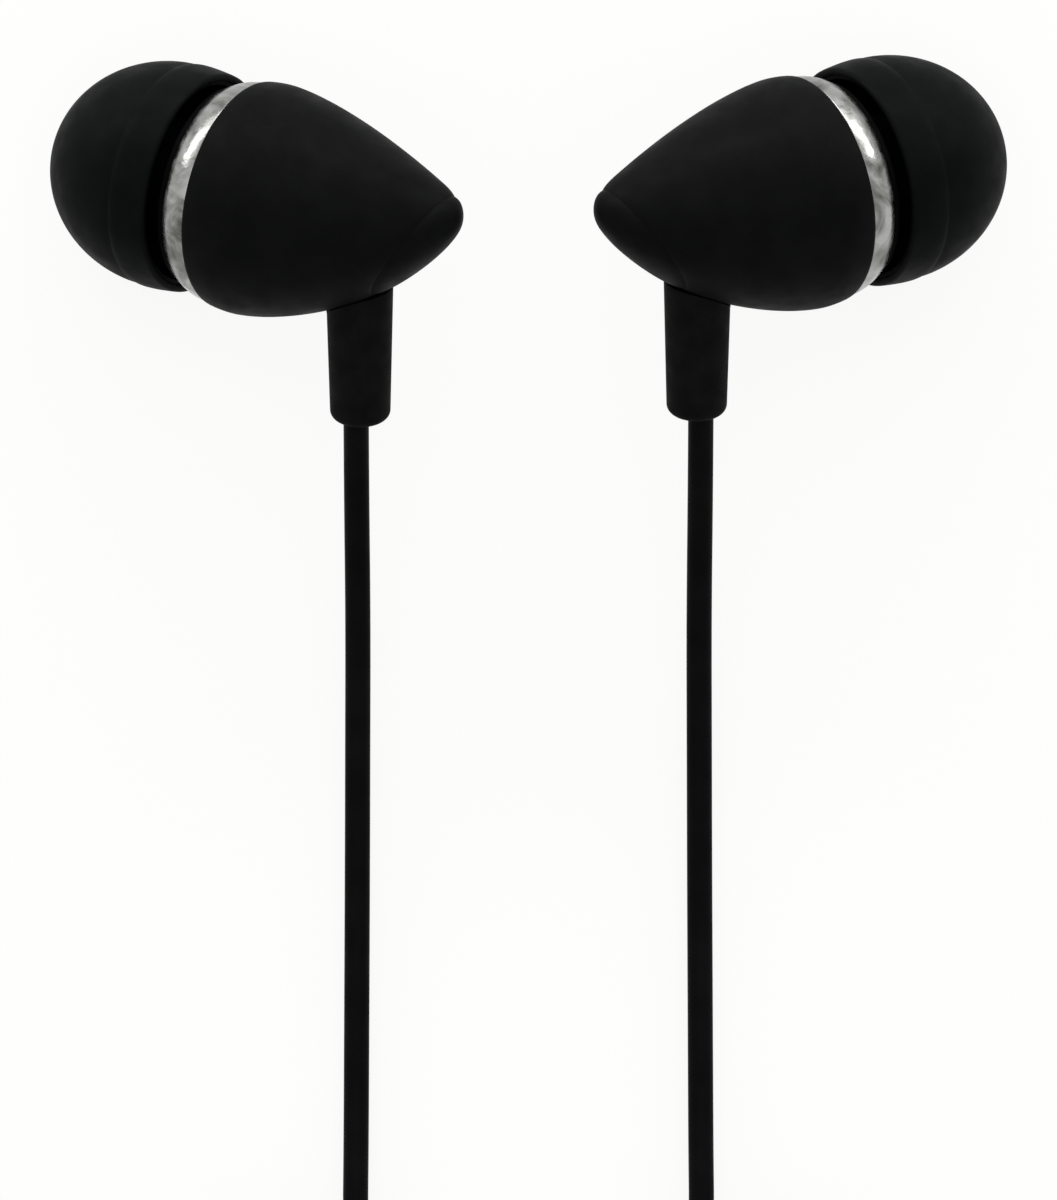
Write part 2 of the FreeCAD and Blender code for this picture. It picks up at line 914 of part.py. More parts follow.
def make_tie(coil):
    """A band round the coil's bundle, with its free end lying on top.

    It is drawn above the coil's centre, and turned to where the turns lie evenly.
    """
    inner_turn = coil.radius - (coil.pairs - 0.5) * coil.pitch
    reach = (tie_width + coil.pitch) / 2
    sag = inner_turn - math.sqrt(inner_turn ** 2 - reach ** 2)
    spread = (coil.pairs - 1) * coil.pitch + 2 * corner_radius(coil.diameter, cord_facets) + sag
    height = coil.pitch + coil.diameter
    wrap = tie_thickness + tie_gap
    outer = rounded_box(tie_width, spread + 2 * wrap, height + 2 * wrap, tie_corner_radius)
    inner_corner = tie_corner_radius - tie_thickness
    inner = rounded_box(2 * tie_width, spread + 2 * tie_gap, height + 2 * tie_gap, inner_corner)
    tongue = Part.makeBox(tie_tongue_width, tie_tongue_length, tie_thickness)
    tongue.translate(Vector(-tie_tongue_width / 2, -tie_tongue_length / 2, height / 2 + wrap))
    band = outer.cut(inner).fuse(tongue).removeSplitter()
    middle = coil.radius - (coil.pairs * coil.pitch + sag) / 2
    band.translate(coil.centre + Vector(0, middle, coil.pitch / 2))
    band.rotate(coil.centre, up, coil.tie_turn)
    return band


# Splitter and plug

def make_splitter():
    """A flattened sleeve that narrows towards the main cord."""
    wires = []
    splitter_end = splitter_top - splitter_length
    for y, width in ((splitter_top, splitter_top_width), (splitter_end, splitter_end_width)):
        outline = rounded_outline(width, splitter_thickness, splitter_corner_radius)
        outline.translate(Vector(0, y, splitter_thickness / 2))
        wires.append(outline)
    body = Part.makeLoft(wires, True, True)
    ends = []
    for edge in body.Edges:
        start = edge.valueAt(edge.FirstParameter)
        end = edge.valueAt(edge.LastParameter)
        if abs(start.y - end.y) < 0.01:
            ends.append(edge)
    return body.makeChamfer(splitter_end_bevel, ends)


def rounded_outline(width, height, radius):
    """A rectangle with rounded corners, in the XZ plane."""
    edges = []
    halfway = radius * (1 - cosine(45))
    for x_way, z_way in ((1, -1), (1, 1), (-1, 1), (-1, -1)):
        corner = Vector(x_way * width / 2, 0, z_way * height / 2)
        beside = corner - Vector(x_way * radius, 0, 0)
        above = corner - Vector(0, 0, z_way * radius)
        middle = corner - Vector(x_way * halfway, 0, z_way * halfway)
        edges.append(Part.Arc(beside, middle, above).toShape())
    side = height / 2 - radius
    end = width / 2 - radius
    for x in (-width / 2, width / 2):
        edges.append(line(Vector(x, 0, -side), Vector(x, 0, side)))
    for z in (-height / 2, height / 2):
        edges.append(line(Vector(-end, 0, z), Vector(end, 0, z)))
    return Part.Wire(Part.__sortEdges__(edges))


def plug_placement():
    """The plug's own frame has X from its cord to its tip."""
    return Placement(Vector(plug_relief_start, plug_y, plug_grip_radius), Rotation())


def make_plug_relief():
    """A tapered boot with grooves that let it bend."""
    taper = plug_relief_flare / plug_relief_length
    outline = [(0, 0), (0, plug_relief_radius)]
    step = plug_relief_length / (plug_grooves + 1)
    for i in range(plug_grooves):
        middle = step * (i + 1)
        for x, depth in ((-1, 0), (0, plug_groove_depth), (1, 0)):
            place = middle + x * plug_groove_width / 2
            outline.append((place, plug_relief_radius + taper * place - depth))
    outline += [(plug_relief_length, plug_relief_radius + plug_relief_flare), (plug_relief_length, 0)]
    return turned(outline)


def make_plug_grip():
    """The moulded handle, with finger grooves and a socket for the contacts' roots."""
    start = plug_relief_length
    end = start + plug_grip_length
    outline = [
        (start, 0),
        (start, plug_grip_rear_radius),
        (start + plug_grip_rear_length, plug_grip_radius),
    ]
    for i in range(grip_grooves):
        middle = start + grip_groove_place + grip_groove_pitch * i
        outline += [
            (middle - grip_groove_width / 2, plug_grip_radius),
            (middle, plug_grip_radius - grip_groove_depth),
            (middle + grip_groove_width / 2, plug_grip_radius),
        ]
    outline += [
        (end - plug_grip_bevel, plug_grip_radius),
        (end, plug_grip_radius - plug_grip_bevel),
        (end, contact_root_radius + fit_gap),
        (end - contact_root, contact_root_radius + fit_gap),
        (end - contact_root, 0),
    ]
    return turned(outline)


def contacts_start():
    return plug_relief_length + plug_grip_length


def make_plug_sleeve():
    """The longest contact, with a thinner root inside the grip."""
    start = contacts_start()
    bore = insulator_bore + fit_gap
    outline = [
        (start - contact_root, bore),
        (start - contact_root, contact_root_radius),
        (start, contact_root_radius),
        (start, contact_radius),
        (start + sleeve_contact_length, contact_radius),
        (start + sleeve_contact_length, bore),
    ]
    return turned(outline)


def make_plug_insulators():
    """Two rings between the contacts, on one thin tube round the core."""
    start = contacts_start() + sleeve_contact_length
    second = start + insulator_length + ring_contact_length
    outline = [
        (contacts_start() - contact_root, core_radius + fit_gap),
        (contacts_start() - contact_root, insulator_bore),
        (start, insulator_bore),
        (start, contact_radius),
        (start + insulator_length, contact_radius),
        (start + insulator_length, insulator_bore),
        (second, insulator_bore),
        (second, contact_radius),
        (second + insulator_length, contact_radius),
        (second + insulator_length, core_radius + fit_gap),
    ]
    return turned(outline)


def make_plug_ring():
    start = contacts_start() + sleeve_contact_length + insulator_length
    return tube(contact_radius, insulator_bore + fit_gap, start, start + ring_contact_length)


def make_plug_tip():
    """The tip contact with its neck, and the core that carries it."""
    start = contacts_start() + sleeve_contact_length + 2 * insulator_length + ring_contact_length
    end = start + tip_contact_length
    outline = [
        (contacts_start() - contact_root, 0),
        (contacts_start() - contact_root, core_radius),
        (start, core_radius),
        (start, tip_radius),
        (start + tip_neck_place, tip_neck_radius),
        (start + tip_bulge_place, tip_radius),
        (end, tip_nose_radius),
        (end, 0),
    ]
    return turned(outline)


# The whole set

def bud_nodes(name, side):
    makers = {
        "ear_tip": make_ear_tip,
        "nozzle_mesh": make_nozzle_mesh,
        "front_housing": make_front_housing,
        "trim_ring": make_trim_ring,
        "rear_housing": make_rear_housing,
        "tail_cap": make_tail_cap,
        "strain_relief": make_strain_relief,
        "cord_knot": make_cord_knot,
        "driver_gasket": make_driver_gasket,
        "driver_cover": make_driver_cover,
        "diaphragm": make_diaphragm,
        "voice_coil": make_voice_coil,
        "driver_plate": make_driver_plate,
        "driver_magnet": make_driver_magnet,
        "driver_cup": make_driver_cup,
        "driver_frame": make_driver_frame,
        "vent_felt": make_vent_felt,
        "terminal_board": make_terminal_board,
        "lead_wires": make_lead_wires,
    }
    nodes = {}
    for part, make in makers.items():
        shape = make()
        shape.Placement = bud_placement(side).multiply(shape.Placement)
        nodes[name + "_" + part] = shape
    return nodes


def cord_node(name, points, diameter):
    path, radii = route(points)
    solid = swept(path, diameter, cord_facets)
    print(name, "radii", [round(r, 1) for r in radii])
    print_length(name, path, solid, diameter)
    return solid


def print_length(name, path, solid, diameter):
    expected = section_area(diameter) * path.Length
    print(name, "length %.1f, volume %.2f of %.2f" % (path.Length, solid.Volume, expected))


def coil_node(name, coil):
    path = coil.path()
    solid = swept(path, coil.diameter, cord_facets)
    print(name, "least gap %.2f" % least_gap(path, coil.diameter))
    print_length(name, path, solid, coil.diameter)
    return solid


def branch_nodes(name, side):
    coil = branch_coil(side)
    return {
        name + "_cord": cord_node(name + "_cord", lead_points(side), branch_diameter),
        name + "_cord_coil": coil_node(name + "_cord_coil", coil),
        name + "_cord_tail": cord_node(name + "_cord_tail", tail_points(side), branch_diameter),
        name + "_coil_tie": make_tie(coil),
    }


def main_cord_nodes():
    coil = main_coil()
    return {
        "cord_splitter": make_splitter(),
        "main_cord": cord_node("main_cord", main_lead_points(), main_diameter),
        "main_cord_coil": coil_node("main_cord_coil", coil),
        "main_cord_tail": cord_node("main_cord_tail", main_tail_points(), main_diameter),
        "main_coil_tie": make_tie(coil),
    }


def plug_nodes():
    makers = {
        "plug_strain_relief": make_plug_relief,
        "plug_grip": make_plug_grip,
        "plug_sleeve_contact": make_plug_sleeve,
        "plug_insulators": make_plug_insulators,
        "plug_ring_contact": make_plug_ring,
        "plug_tip_contact": make_plug_tip,
    }
    nodes = {}
    for name, make in makers.items():
        shape = make()
        shape.Placement = plug_placement()
        nodes[name] = shape
    return nodes


def main():
    nodes = {}
    for name, side in (("left", -1), ("right", 1)):
        nodes.update(bud_nodes(name, side))
        nodes.update(branch_nodes(name, side))
    nodes.update(main_cord_nodes())
    nodes.update(plug_nodes())
    os.makedirs("parts", exist_ok=True)
    for name, shape in nodes.items():
        if not shape.isValid():
            print("not valid:", name)
        shape.exportStep(os.path.join("parts", name + ".step"))
    print(len(nodes), "nodes")


main()
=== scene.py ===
import bmesh
import bpy
import math
from mathutils import Matrix, Vector


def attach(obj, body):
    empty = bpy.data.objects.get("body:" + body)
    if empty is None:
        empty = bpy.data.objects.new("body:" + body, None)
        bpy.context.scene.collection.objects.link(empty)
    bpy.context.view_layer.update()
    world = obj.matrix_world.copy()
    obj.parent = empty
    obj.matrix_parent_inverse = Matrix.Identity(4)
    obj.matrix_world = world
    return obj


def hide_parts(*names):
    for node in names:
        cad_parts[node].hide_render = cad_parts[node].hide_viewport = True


# Wired earphones lying on a pale surface, seen from straight above.
# Forms are drawn in millimetres, in the frame of the thing that they belong to, and
# placed in metres. The cords' points are in metres. A bud's own frame has X along its
# axis from ear tip to tail, with 0 at the trim ring's front, and -Z where its cord leaves.

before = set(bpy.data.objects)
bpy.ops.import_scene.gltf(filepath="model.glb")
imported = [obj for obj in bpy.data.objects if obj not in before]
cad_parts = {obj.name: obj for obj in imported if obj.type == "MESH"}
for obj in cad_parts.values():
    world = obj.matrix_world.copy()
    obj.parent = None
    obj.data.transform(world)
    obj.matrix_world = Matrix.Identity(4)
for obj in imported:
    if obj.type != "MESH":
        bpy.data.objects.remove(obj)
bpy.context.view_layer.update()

SIDES = (("left", -1), ("right", 1))
MILLIMETRE = 0.001           # in metres
TO_METRES = Matrix.Scale(MILLIMETRE, 4)

# Camera. Its place is in metres.
CAMERA_PLACE = (0, -0.01942, 0.8077)
CAMERA_LENS = 444.0
CAMERA_SENSOR = 36.0

# How the buds lie
RING_SPACING = 33.4
RING_Y = 2.86
RIGHT_BUD_LEAD = 0.32
TAIL_LIFT = math.radians(28.0)
TAIL_DIP = math.radians(15.7)

# Ear tip. The lip's points are (behind the front edge, radius).
DOME_CENTRE = -3.06
DOME_HALF_LENGTH = 6.8
DOME_RADIUS = 6.15
DOME_WALL = 0.5
DOME_SWEEP = math.radians(82)
DOME_LIP_RADIUS = 2.5
SOUND_HOLE_RADIUS = 1.9
DOME_LIP = ((0.30, SOUND_HOLE_RADIUS), (0.06, SOUND_HOLE_RADIUS + 0.10),
            (-0.03, DOME_LIP_RADIUS - 0.30), (-0.02, DOME_LIP_RADIUS - 0.12))
CREASE = -3.2
CREASE_DEPTH = 0.02
CREASE_FRONT_WIDTH = 0.35
CREASE_REAR_WIDTH = 0.20
SKIRT_PROUD = 0.07
SKIRT_TAPER = 0.18
SKIRT_END = -1.0
SKIRT_RIM_RADIUS = 0.22
SKIRT_RIM_START = SKIRT_END - SKIRT_RIM_RADIUS
SKIRT_INNER_START = SKIRT_END - 0.3
SLEEVE_BORE = 2.44
SLEEVE_RADIUS = 3.04
SLEEVE_END = -1.95
SLEEVE_ROUND = 0.15
NOZZLE_FRONT = -8.2
NOZZLE_GAP = 0.05

# Grille. The rim's points are (behind the nozzle's front, radius).
GRILLE_RIM = ((0.20, 1.80), (0.20, 1.50), (0.30, 1.50), (0.42, 1.62), (0.42, 1.80))
GRILLE_REACH = 1.66
GRILLE_MIDDLE = 0.32
GRILLE_PITCH = 0.26
GRILLE_WAVE = 0.045
GRILLE_WIRE_RADIUS = 0.05

# Trim ring
RING_LENGTH = 1.55
RING_FRONT_RADIUS = 5.7
RING_REAR_RADIUS = 6.12
RING_CROWN = 0.14
RING_BORE = 5.35
RING_REAR = RING_LENGTH - 0.02
RING_FRONT_ROUND = 0.14
RING_REAR_ROUND = 0.10

# Rear housing and tail cap. The edges' points are (distance, inset): behind the trim ring
# at the housing's front, and along the cap's normal from the seam at its tail and on the cap.
BODY_RADIUS = 6.37
BODY_WIDEST = 2.75
BODY_FRONT_STEP = 0.12
BODY_FRONT_EDGE = ((0, 0.9), (0, 0.14), (0.03, 0.05), (0.10, 0.01))
BODY_SIDE_START = 0.2
BODY_FRONT_LIP = 2.2
BODY_FRONT_LIP_INSET = 0.95
BODY_TAIL_EDGE_START = -0.95
BODY_TAIL_EDGE = ((-0.75, 0.006), (-0.55, 0.020), (-0.38, 0.039), (-0.24, 0.064),
                  (-0.13, 0.092), (-0.05, 0.118), (0, 0.145))
BODY_WALL = 1.15
TAIL_REACH = 14.9
TAIL_FULLNESS = 1.55
TAIL_BEND = 0.0075
CAP_NORMAL = Vector((math.cos(math.radians(32.0)), 0, -math.sin(math.radians(32.0))))
CAP_CUT = 3.44
CAP_THICKNESS = 0.85
CAP_PLUG_DEPTH = 0.8
CAP_PLUG_INSET = BODY_WALL + 0.05
CAP_PLUG_STEP = 0.05
CAP_STEP = 0.12
CAP_EDGE = ((0.003, 0.15), (0.05, 0.142), (0.11, 0.133), (0.18, 0.125))
CAP_EDGE_END = 0.25
CAP_CROWN = 0.75
CAP_FULLNESS = 0.8

# Strain relief. The top edge's points are (less than the radius, clear of the shell).
RELIEF_X = 8.94
RELIEF_START = 2.0
RELIEF_END = 11.5
RELIEF_TOP_RADIUS = 1.86
RELIEF_TOP_EDGE = ((0.14, 0.04), (0.05, 0.07))
RELIEF_TOP_CLEAR = 0.15
RELIEF_END_RADIUS = 1.63
RELIEF_ROUND = 0.5
RELIEF_NECK_RADIUS = 1.3
RELIEF_FLANGE_RADIUS = 1.85
RELIEF_FLANGE_THICKNESS = 0.6
RELIEF_FLANGE_ROUND = 0.1
RELIEF_BORE = 0.74
RELIEF_MOUTH = 0.06
RELIEF_GAP = 0.05
CORD_OFFSET = 0.27

# Knot and wires
KNOT_RADIUS = 1.3
KNOT_LENGTH = 1.6
KNOT_SHOULDER = 0.5
KNOT_ROUND = 0.5
WIRE_RADIUS = 0.15
WIRE_SPREAD = 0.24
WIRE_LEAD = 0.9
SOLDER_Y = 1.3
SOLDER_Z = -1.2

# Driver
GASKET_FRONT = 0.5
GASKET_REAR = 0.8
GASKET_BORE = 3.9
GASKET_RADIUS = 4.5
DIAPHRAGM = 1.68
FILM = 0.1
FILM_DOME = 0.4
FILM_RADIUS = 4.2
SURROUND_START = 2.67
SURROUND_WIDTH = 1.13
SURROUND_HEIGHT = 0.3
WINDING_RADIUS = 2.33
WINDING_WALL = 0.24
WINDING_DEPTH = 1.5
WINDING_TURNS = 12
WINDING_GROOVE = 0.05
FELT_FRONT = 3.66
FELT_THICKNESS = 0.15
FELT_BORE = 3.27
FELT_RADIUS = 4.07

# Cords
BRANCH_DIAMETER = 1.38
MAIN_DIAMETER = 2.0
CORNER_DIAMETER = 1.0996     # of the six-sided section with the area of a round one
TURN_GAP = 0.48
BRANCH_COIL = (14.4, -65.6)
BRANCH_COIL_RADIUS = 10.55
BRANCH_PAIRS = 3
BRANCH_JOIN = math.radians(35.0)
MAIN_COIL = (6.8, -108.33)
MAIN_COIL_RADIUS = 18.0
MAIN_PAIRS = 5
MAIN_JOIN = math.radians(45.0)
HALF_TURN_POINTS = 8

# Ties. The tongue's end has (distance, share of the full section).
TIE_THICKNESS = 0.6
TIE_WIDTH = 2.0
TIE_GAP = 0.1
TIE_ROUND = 0.18
TIE_TONGUE_WIDTH = 1.6
TIE_TONGUE_LENGTH = 3.0
TIE_TONGUE_ROUND = 0.15
TIE_TONGUE_END = ((0, 0.7), (0.1, 0.9), (0.25, 1.0))

# Splitter. Its rounded edge has (distance, inset).
SPLITTER_TOP = -72.4
SPLITTER_LENGTH = 11.0
SPLITTER_TOP_WIDTH = 5.4
SPLITTER_END_WIDTH = 3.4
SPLITTER_THICKNESS = 3.0
SPLITTER_CORNER = 1.3
SPLITTER_EDGE = ((0, 0.50), (0.02, 0.36), (0.08, 0.22), (0.18, 0.10), (0.32, 0.03), (0.50, 0))

# Plug. The grooves' points are (along, out) from a groove's middle on the surface.
PLUG_START = -8.7
PLUG_Y = -131.0
PLUG_RELIEF = 6.5
PLUG_RELIEF_RADIUS = 1.55
PLUG_RELIEF_FLARE = 0.5
PLUG_RELIEF_GROOVE = ((-0.45, -0.035), (-0.12, -0.40), (0.12, -0.40), (0.45, 0.035))
PLUG_GRIP = 14.0
PLUG_GRIP_RADIUS = 3.2
PLUG_GRIP_START_RADIUS = 2.45
PLUG_GRIP_TAPER = 2.2
PLUG_GRIP_GROOVE = ((-0.4, 0), (0, -0.25), (0.4, 0))
PLUG_GRIP_GROOVE_START = 4.2
PLUG_GRIP_GROOVE_PITCH = 2.0
PLUG_GRIP_ROUND = 0.8
PLUG_SOCKET_DEPTH = 3.0
PLUG_SOCKET_RADIUS = 1.6
CONTACT_RADIUS = 1.75
CONTACT_ROOT_RADIUS = 1.55
SLEEVE_CONTACT = 6.6
SLEEVE_CONTACT_BORE = 0.95
INSULATOR_LENGTH = 0.7
INSULATOR_RADIUS = 0.9
INSULATOR_BORE = 0.65
RING_CONTACT_PITCH = 2.9
TIP_ROD_RADIUS = 0.6
TIP_RADIUS = 1.65
TIP_WAIST = 0.8
TIP_WAIST_RADIUS = 1.15
TIP_SHOULDER = 1.7
TIP_LENGTH = 3.8

# Floor and lamps, in metres. A lamp is (name, place, size, power in watts).
FLOOR_RADIUS = 8.0
FLOOR_DROP = 0.00003
FLOOR_COLOUR = (0.86, 0.86, 0.85)
FLOOR_WHITE = (1, 1, 0.995)
FLOOR_WHITE_SHARE = 0.88
WORLD_LIGHT = 0.70
LAMPS = (
    ("overhead_softbox", (0.0, 0.1, 1.2), (1.2, 1.2), 3.0),
    ("far_softbox", (0.0, 0.9, 0.33), (0.9, 0.35), 5.5),
    ("left_softbox", (-0.64, 0.66, 0.17), (0.66, 0.33), 3.6),
    ("right_softbox", (0.64, 0.66, 0.17), (0.66, 0.33), 3.6),
)


def bud_place(side):
    """The matrix from a bud's own millimetres to metres in the frame."""
    flat = math.cos(TAIL_LIFT)
    axis = Vector((-side * flat * math.cos(TAIL_DIP), -flat * math.sin(TAIL_DIP),
                   math.sin(TAIL_LIFT)))
    down = Vector((0, -axis.z, axis.y)).normalized()
    place = Matrix((axis, axis.cross(down), -down)).transposed().to_4x4()
    reach = math.hypot(DOME_HALF_LENGTH * axis.z, DOME_RADIUS * flat)
    height = reach - DOME_CENTRE * axis.z
    lead = RIGHT_BUD_LEAD if side > 0 else 0
    place.translation = (side * RING_SPACING / 2, RING_Y + lead, height)
    return TO_METRES @ place


# Camera: straight above, with the photograph's long lens

def make_camera():
    data = bpy.data.cameras.new("camera")
    data.sensor_width = CAMERA_SENSOR
    data.lens = CAMERA_LENS
    data.clip_start = 0.05
    data.clip_end = 20.0
    camera = bpy.data.objects.new("camera", data)
    bpy.context.scene.collection.objects.link(camera)
    camera.location = CAMERA_PLACE
    bpy.context.scene.camera = camera


# Cords

class Coil:
    """A cord wound in two layers, which joins and leaves its outermost turn at one place.

    Side, -1 or 1, names the half where that is, and angle how far above the middle. The cord
    turns inwards on the lower layer and outwards on the upper one. Millimetres.
    """

    def __init__(self, middle, side, angle, radius, pairs, diameter):
        self.centre = Vector((*middle, TIE_THICKNESS + TIE_GAP + diameter / 2))
        self.out = Vector((side * math.cos(angle), math.sin(angle), 0))
        self.heading = Vector((side * math.sin(angle), -math.cos(angle), 0))
        self.tie_turn = side * angle
        self.radius = radius
        self.pairs = pairs
        self.diameter = diameter
        self.pitch = CORNER_DIAMETER * diameter + TURN_GAP

    def before(self, distance):
        """A point in metres that is this far in front of the join."""
        return (self.centre + self.out * self.radius - self.heading * distance) * MILLIMETRE

    def after(self, distance):
        """A point in metres that is this far behind the place where the cord leaves."""
        rise = Vector((0, 0, self.pitch))
        return (self.centre + self.out * self.radius + rise + self.heading * distance) * MILLIMETRE

    def points(self):
        """The turns' points in metres, from half turns of (half, shift, radius, low, high)."""
        pitch = self.pitch
        halves = []
        for i in range(self.pairs):
            turn = self.radius - pitch * i
            halves.append((0, 0, turn, 0, 0))
            halves.append((1, -pitch / 2, turn - pitch / 2, 0, 0))
        halves.append((0, 0, self.radius - pitch * self.pairs, 0, 1))
        for i in range(self.pairs, 0, -1):
            turn = self.radius - pitch * i
            halves.append((1, pitch / 2, turn + pitch / 2, 1, 1))
            if i > 1:
                halves.append((0, 0, turn + pitch, 1, 1))
        step = math.pi / HALF_TURN_POINTS
        points = []
        for half, shift, turn, low, high in halves:
            reach = turn / math.cos(step / 2)
            for k in range(HALF_TURN_POINTS):
                angle = half * math.pi + (k + 0.5) * step
                aside = self.out * (shift + reach * math.cos(angle))
                ahead = self.heading * (reach * math.sin(angle))
                share = low + (high - low) * (k + 0.5) / HALF_TURN_POINTS
                rise = Vector((0, 0, pitch * share))
                points.append((self.centre + aside + ahead + rise) * MILLIMETRE)
        return points


def branch_coil(side):
    turns = (BRANCH_COIL_RADIUS, BRANCH_PAIRS, BRANCH_DIAMETER)
    return Coil((side * BRANCH_COIL[0], BRANCH_COIL[1]), -side, BRANCH_JOIN, *turns)


def main_coil():
    return Coil(MAIN_COIL, -1, MAIN_JOIN, MAIN_COIL_RADIUS, MAIN_PAIRS, MAIN_DIAMETER)


def make_cord(name, points, diameter, material):
    data = bpy.data.curves.new(name, "CURVE")
    data.dimensions = "3D"
    data.bevel_depth = diameter / 2
    data.bevel_resolution = 5
    data.use_fill_caps = True
    spline = data.splines.new("NURBS")
    spline.points.add(len(points) - 1)
    for point, place in zip(spline.points, points):
        point.co = (*place, 1)
    spline.order_u = 3
    spline.use_endpoint_u = True
    spline.resolution_u = 8
    data.materials.append(material)
    cord = bpy.data.objects.new(name, data)
    bpy.context.scene.collection.objects.link(cord)
    return cord


def branch_points(side):
    """From the strain relief down to the surface, through the coil and to the splitter."""
    place = bud_place(side)
    start = place @ Vector((RELIEF_X - CORD_OFFSET, 0, -RELIEF_END))
    below = place @ Vector((RELIEF_X - CORD_OFFSET, 0, -RELIEF_END - 5.0))
    coil = branch_coil(side)
    lead = [
        start,
        below,
        (side * 0.00928, -0.0202, 0.00212),
        (side * 0.00931, -0.0270, 0.00088),
        (side * 0.00933, -0.0345, 0.00069),
        (side * 0.00937, -0.0430, 0.00069),
        (side * 0.00940, -0.0496, 0.00069),
        coil.before(6.44),
        coil.before(1.38),
    ]
    tail = [
        coil.after(1.38),
        coil.after(3.3),
        (side * 0.0013, -0.0659, 0.0025),
        (side * 0.00115, -0.0700, 0.0015),
        (side * 0.00115, -0.0724, 0.0015),
    ]
    return lead + coil.points() + tail


def main_points():
    """From the splitter through the coil, and down beside it to the plug."""
    coil = main_coil()
    lead = [
        (0, -0.0834, 0.0015),
        (0, -0.0874, 0.0015),
        coil.before(6.11),
        coil.before(2.0),
    ]
    tail = [
        coil.after(2.0),
        coil.after(6.0),
        (-0.0154, -0.1056, 0.0025),
        (-0.0199, -0.1130, 0.0013),
        (-0.0212, -0.1206, 0.0011),
        (-0.0186, -0.1274, 0.0020),
        (-0.0134, -0.1310, 0.0032),
        (-0.0087, -0.1310, 0.0032),
    ]
    return lead + coil.points() + tail


# Materials. Sizes of grain and mottling are in millimetres.

def add(tree, kind, **inputs):
    node = tree.nodes.new(kind)
    for name, value in inputs.items():
        node.inputs[name].default_value = value
    return node


def noise(tree, size, detail=3.0, distortion=0.0):
    place = tree.nodes.new("ShaderNodeTexCoord")
    texture = add(tree, "ShaderNodeTexNoise", Scale=1000.0 / size, Detail=detail,
                  Distortion=distortion)
    tree.links.new(place.outputs["Object"], texture.inputs["Vector"])
    return texture.outputs["Fac"]


def stretched(tree, value, start, end, low=0.0, high=1.0):
    """The value's range from start to end, drawn out to low and high."""
    spread = add(tree, "ShaderNodeMapRange", **{"From Min": start, "From Max": end,
                                                "To Min": low, "To Max": high})
    tree.links.new(value, spread.inputs["Value"])
    return spread.outputs["Result"]


def make_finish(name, dark, light, rough, specular=0.1, metallic=0.0, mottle=2.0, grain=0.12,
                bump=0.2, depth=0.01, detail=3.0, distortion=0.0):
    """A surface whose colour and roughness wander between two values, with a fine grain."""
    material = bpy.data.materials.new(name)
    material.use_nodes = True
    tree = material.node_tree
    shader = tree.nodes["Principled BSDF"]
    shader.inputs["Metallic"].default_value = metallic
    shader.inputs["Specular IOR Level"].default_value = specular
    patches = noise(tree, mottle, detail, distortion)
    mix = tree.nodes.new("ShaderNodeMix")
    mix.data_type = "RGBA"
    mix.inputs["A"].default_value = (*dark, 1)
    mix.inputs["B"].default_value = (*light, 1)
    tree.links.new(stretched(tree, patches, 0.35, 0.65), mix.inputs["Factor"])
    tree.links.new(mix.outputs["Result"], shader.inputs["Base Color"])
    finer = noise(tree, mottle * 0.6, detail, distortion)
    tree.links.new(stretched(tree, finer, 0.3, 0.7, *rough), shader.inputs["Roughness"])
    if bump:
        relief = add(tree, "ShaderNodeBump", Strength=bump, Distance=depth * MILLIMETRE)
        tree.links.new(noise(tree, grain, 2.0), relief.inputs["Height"])
        tree.links.new(relief.outputs["Normal"], shader.inputs["Normal"])
    return material


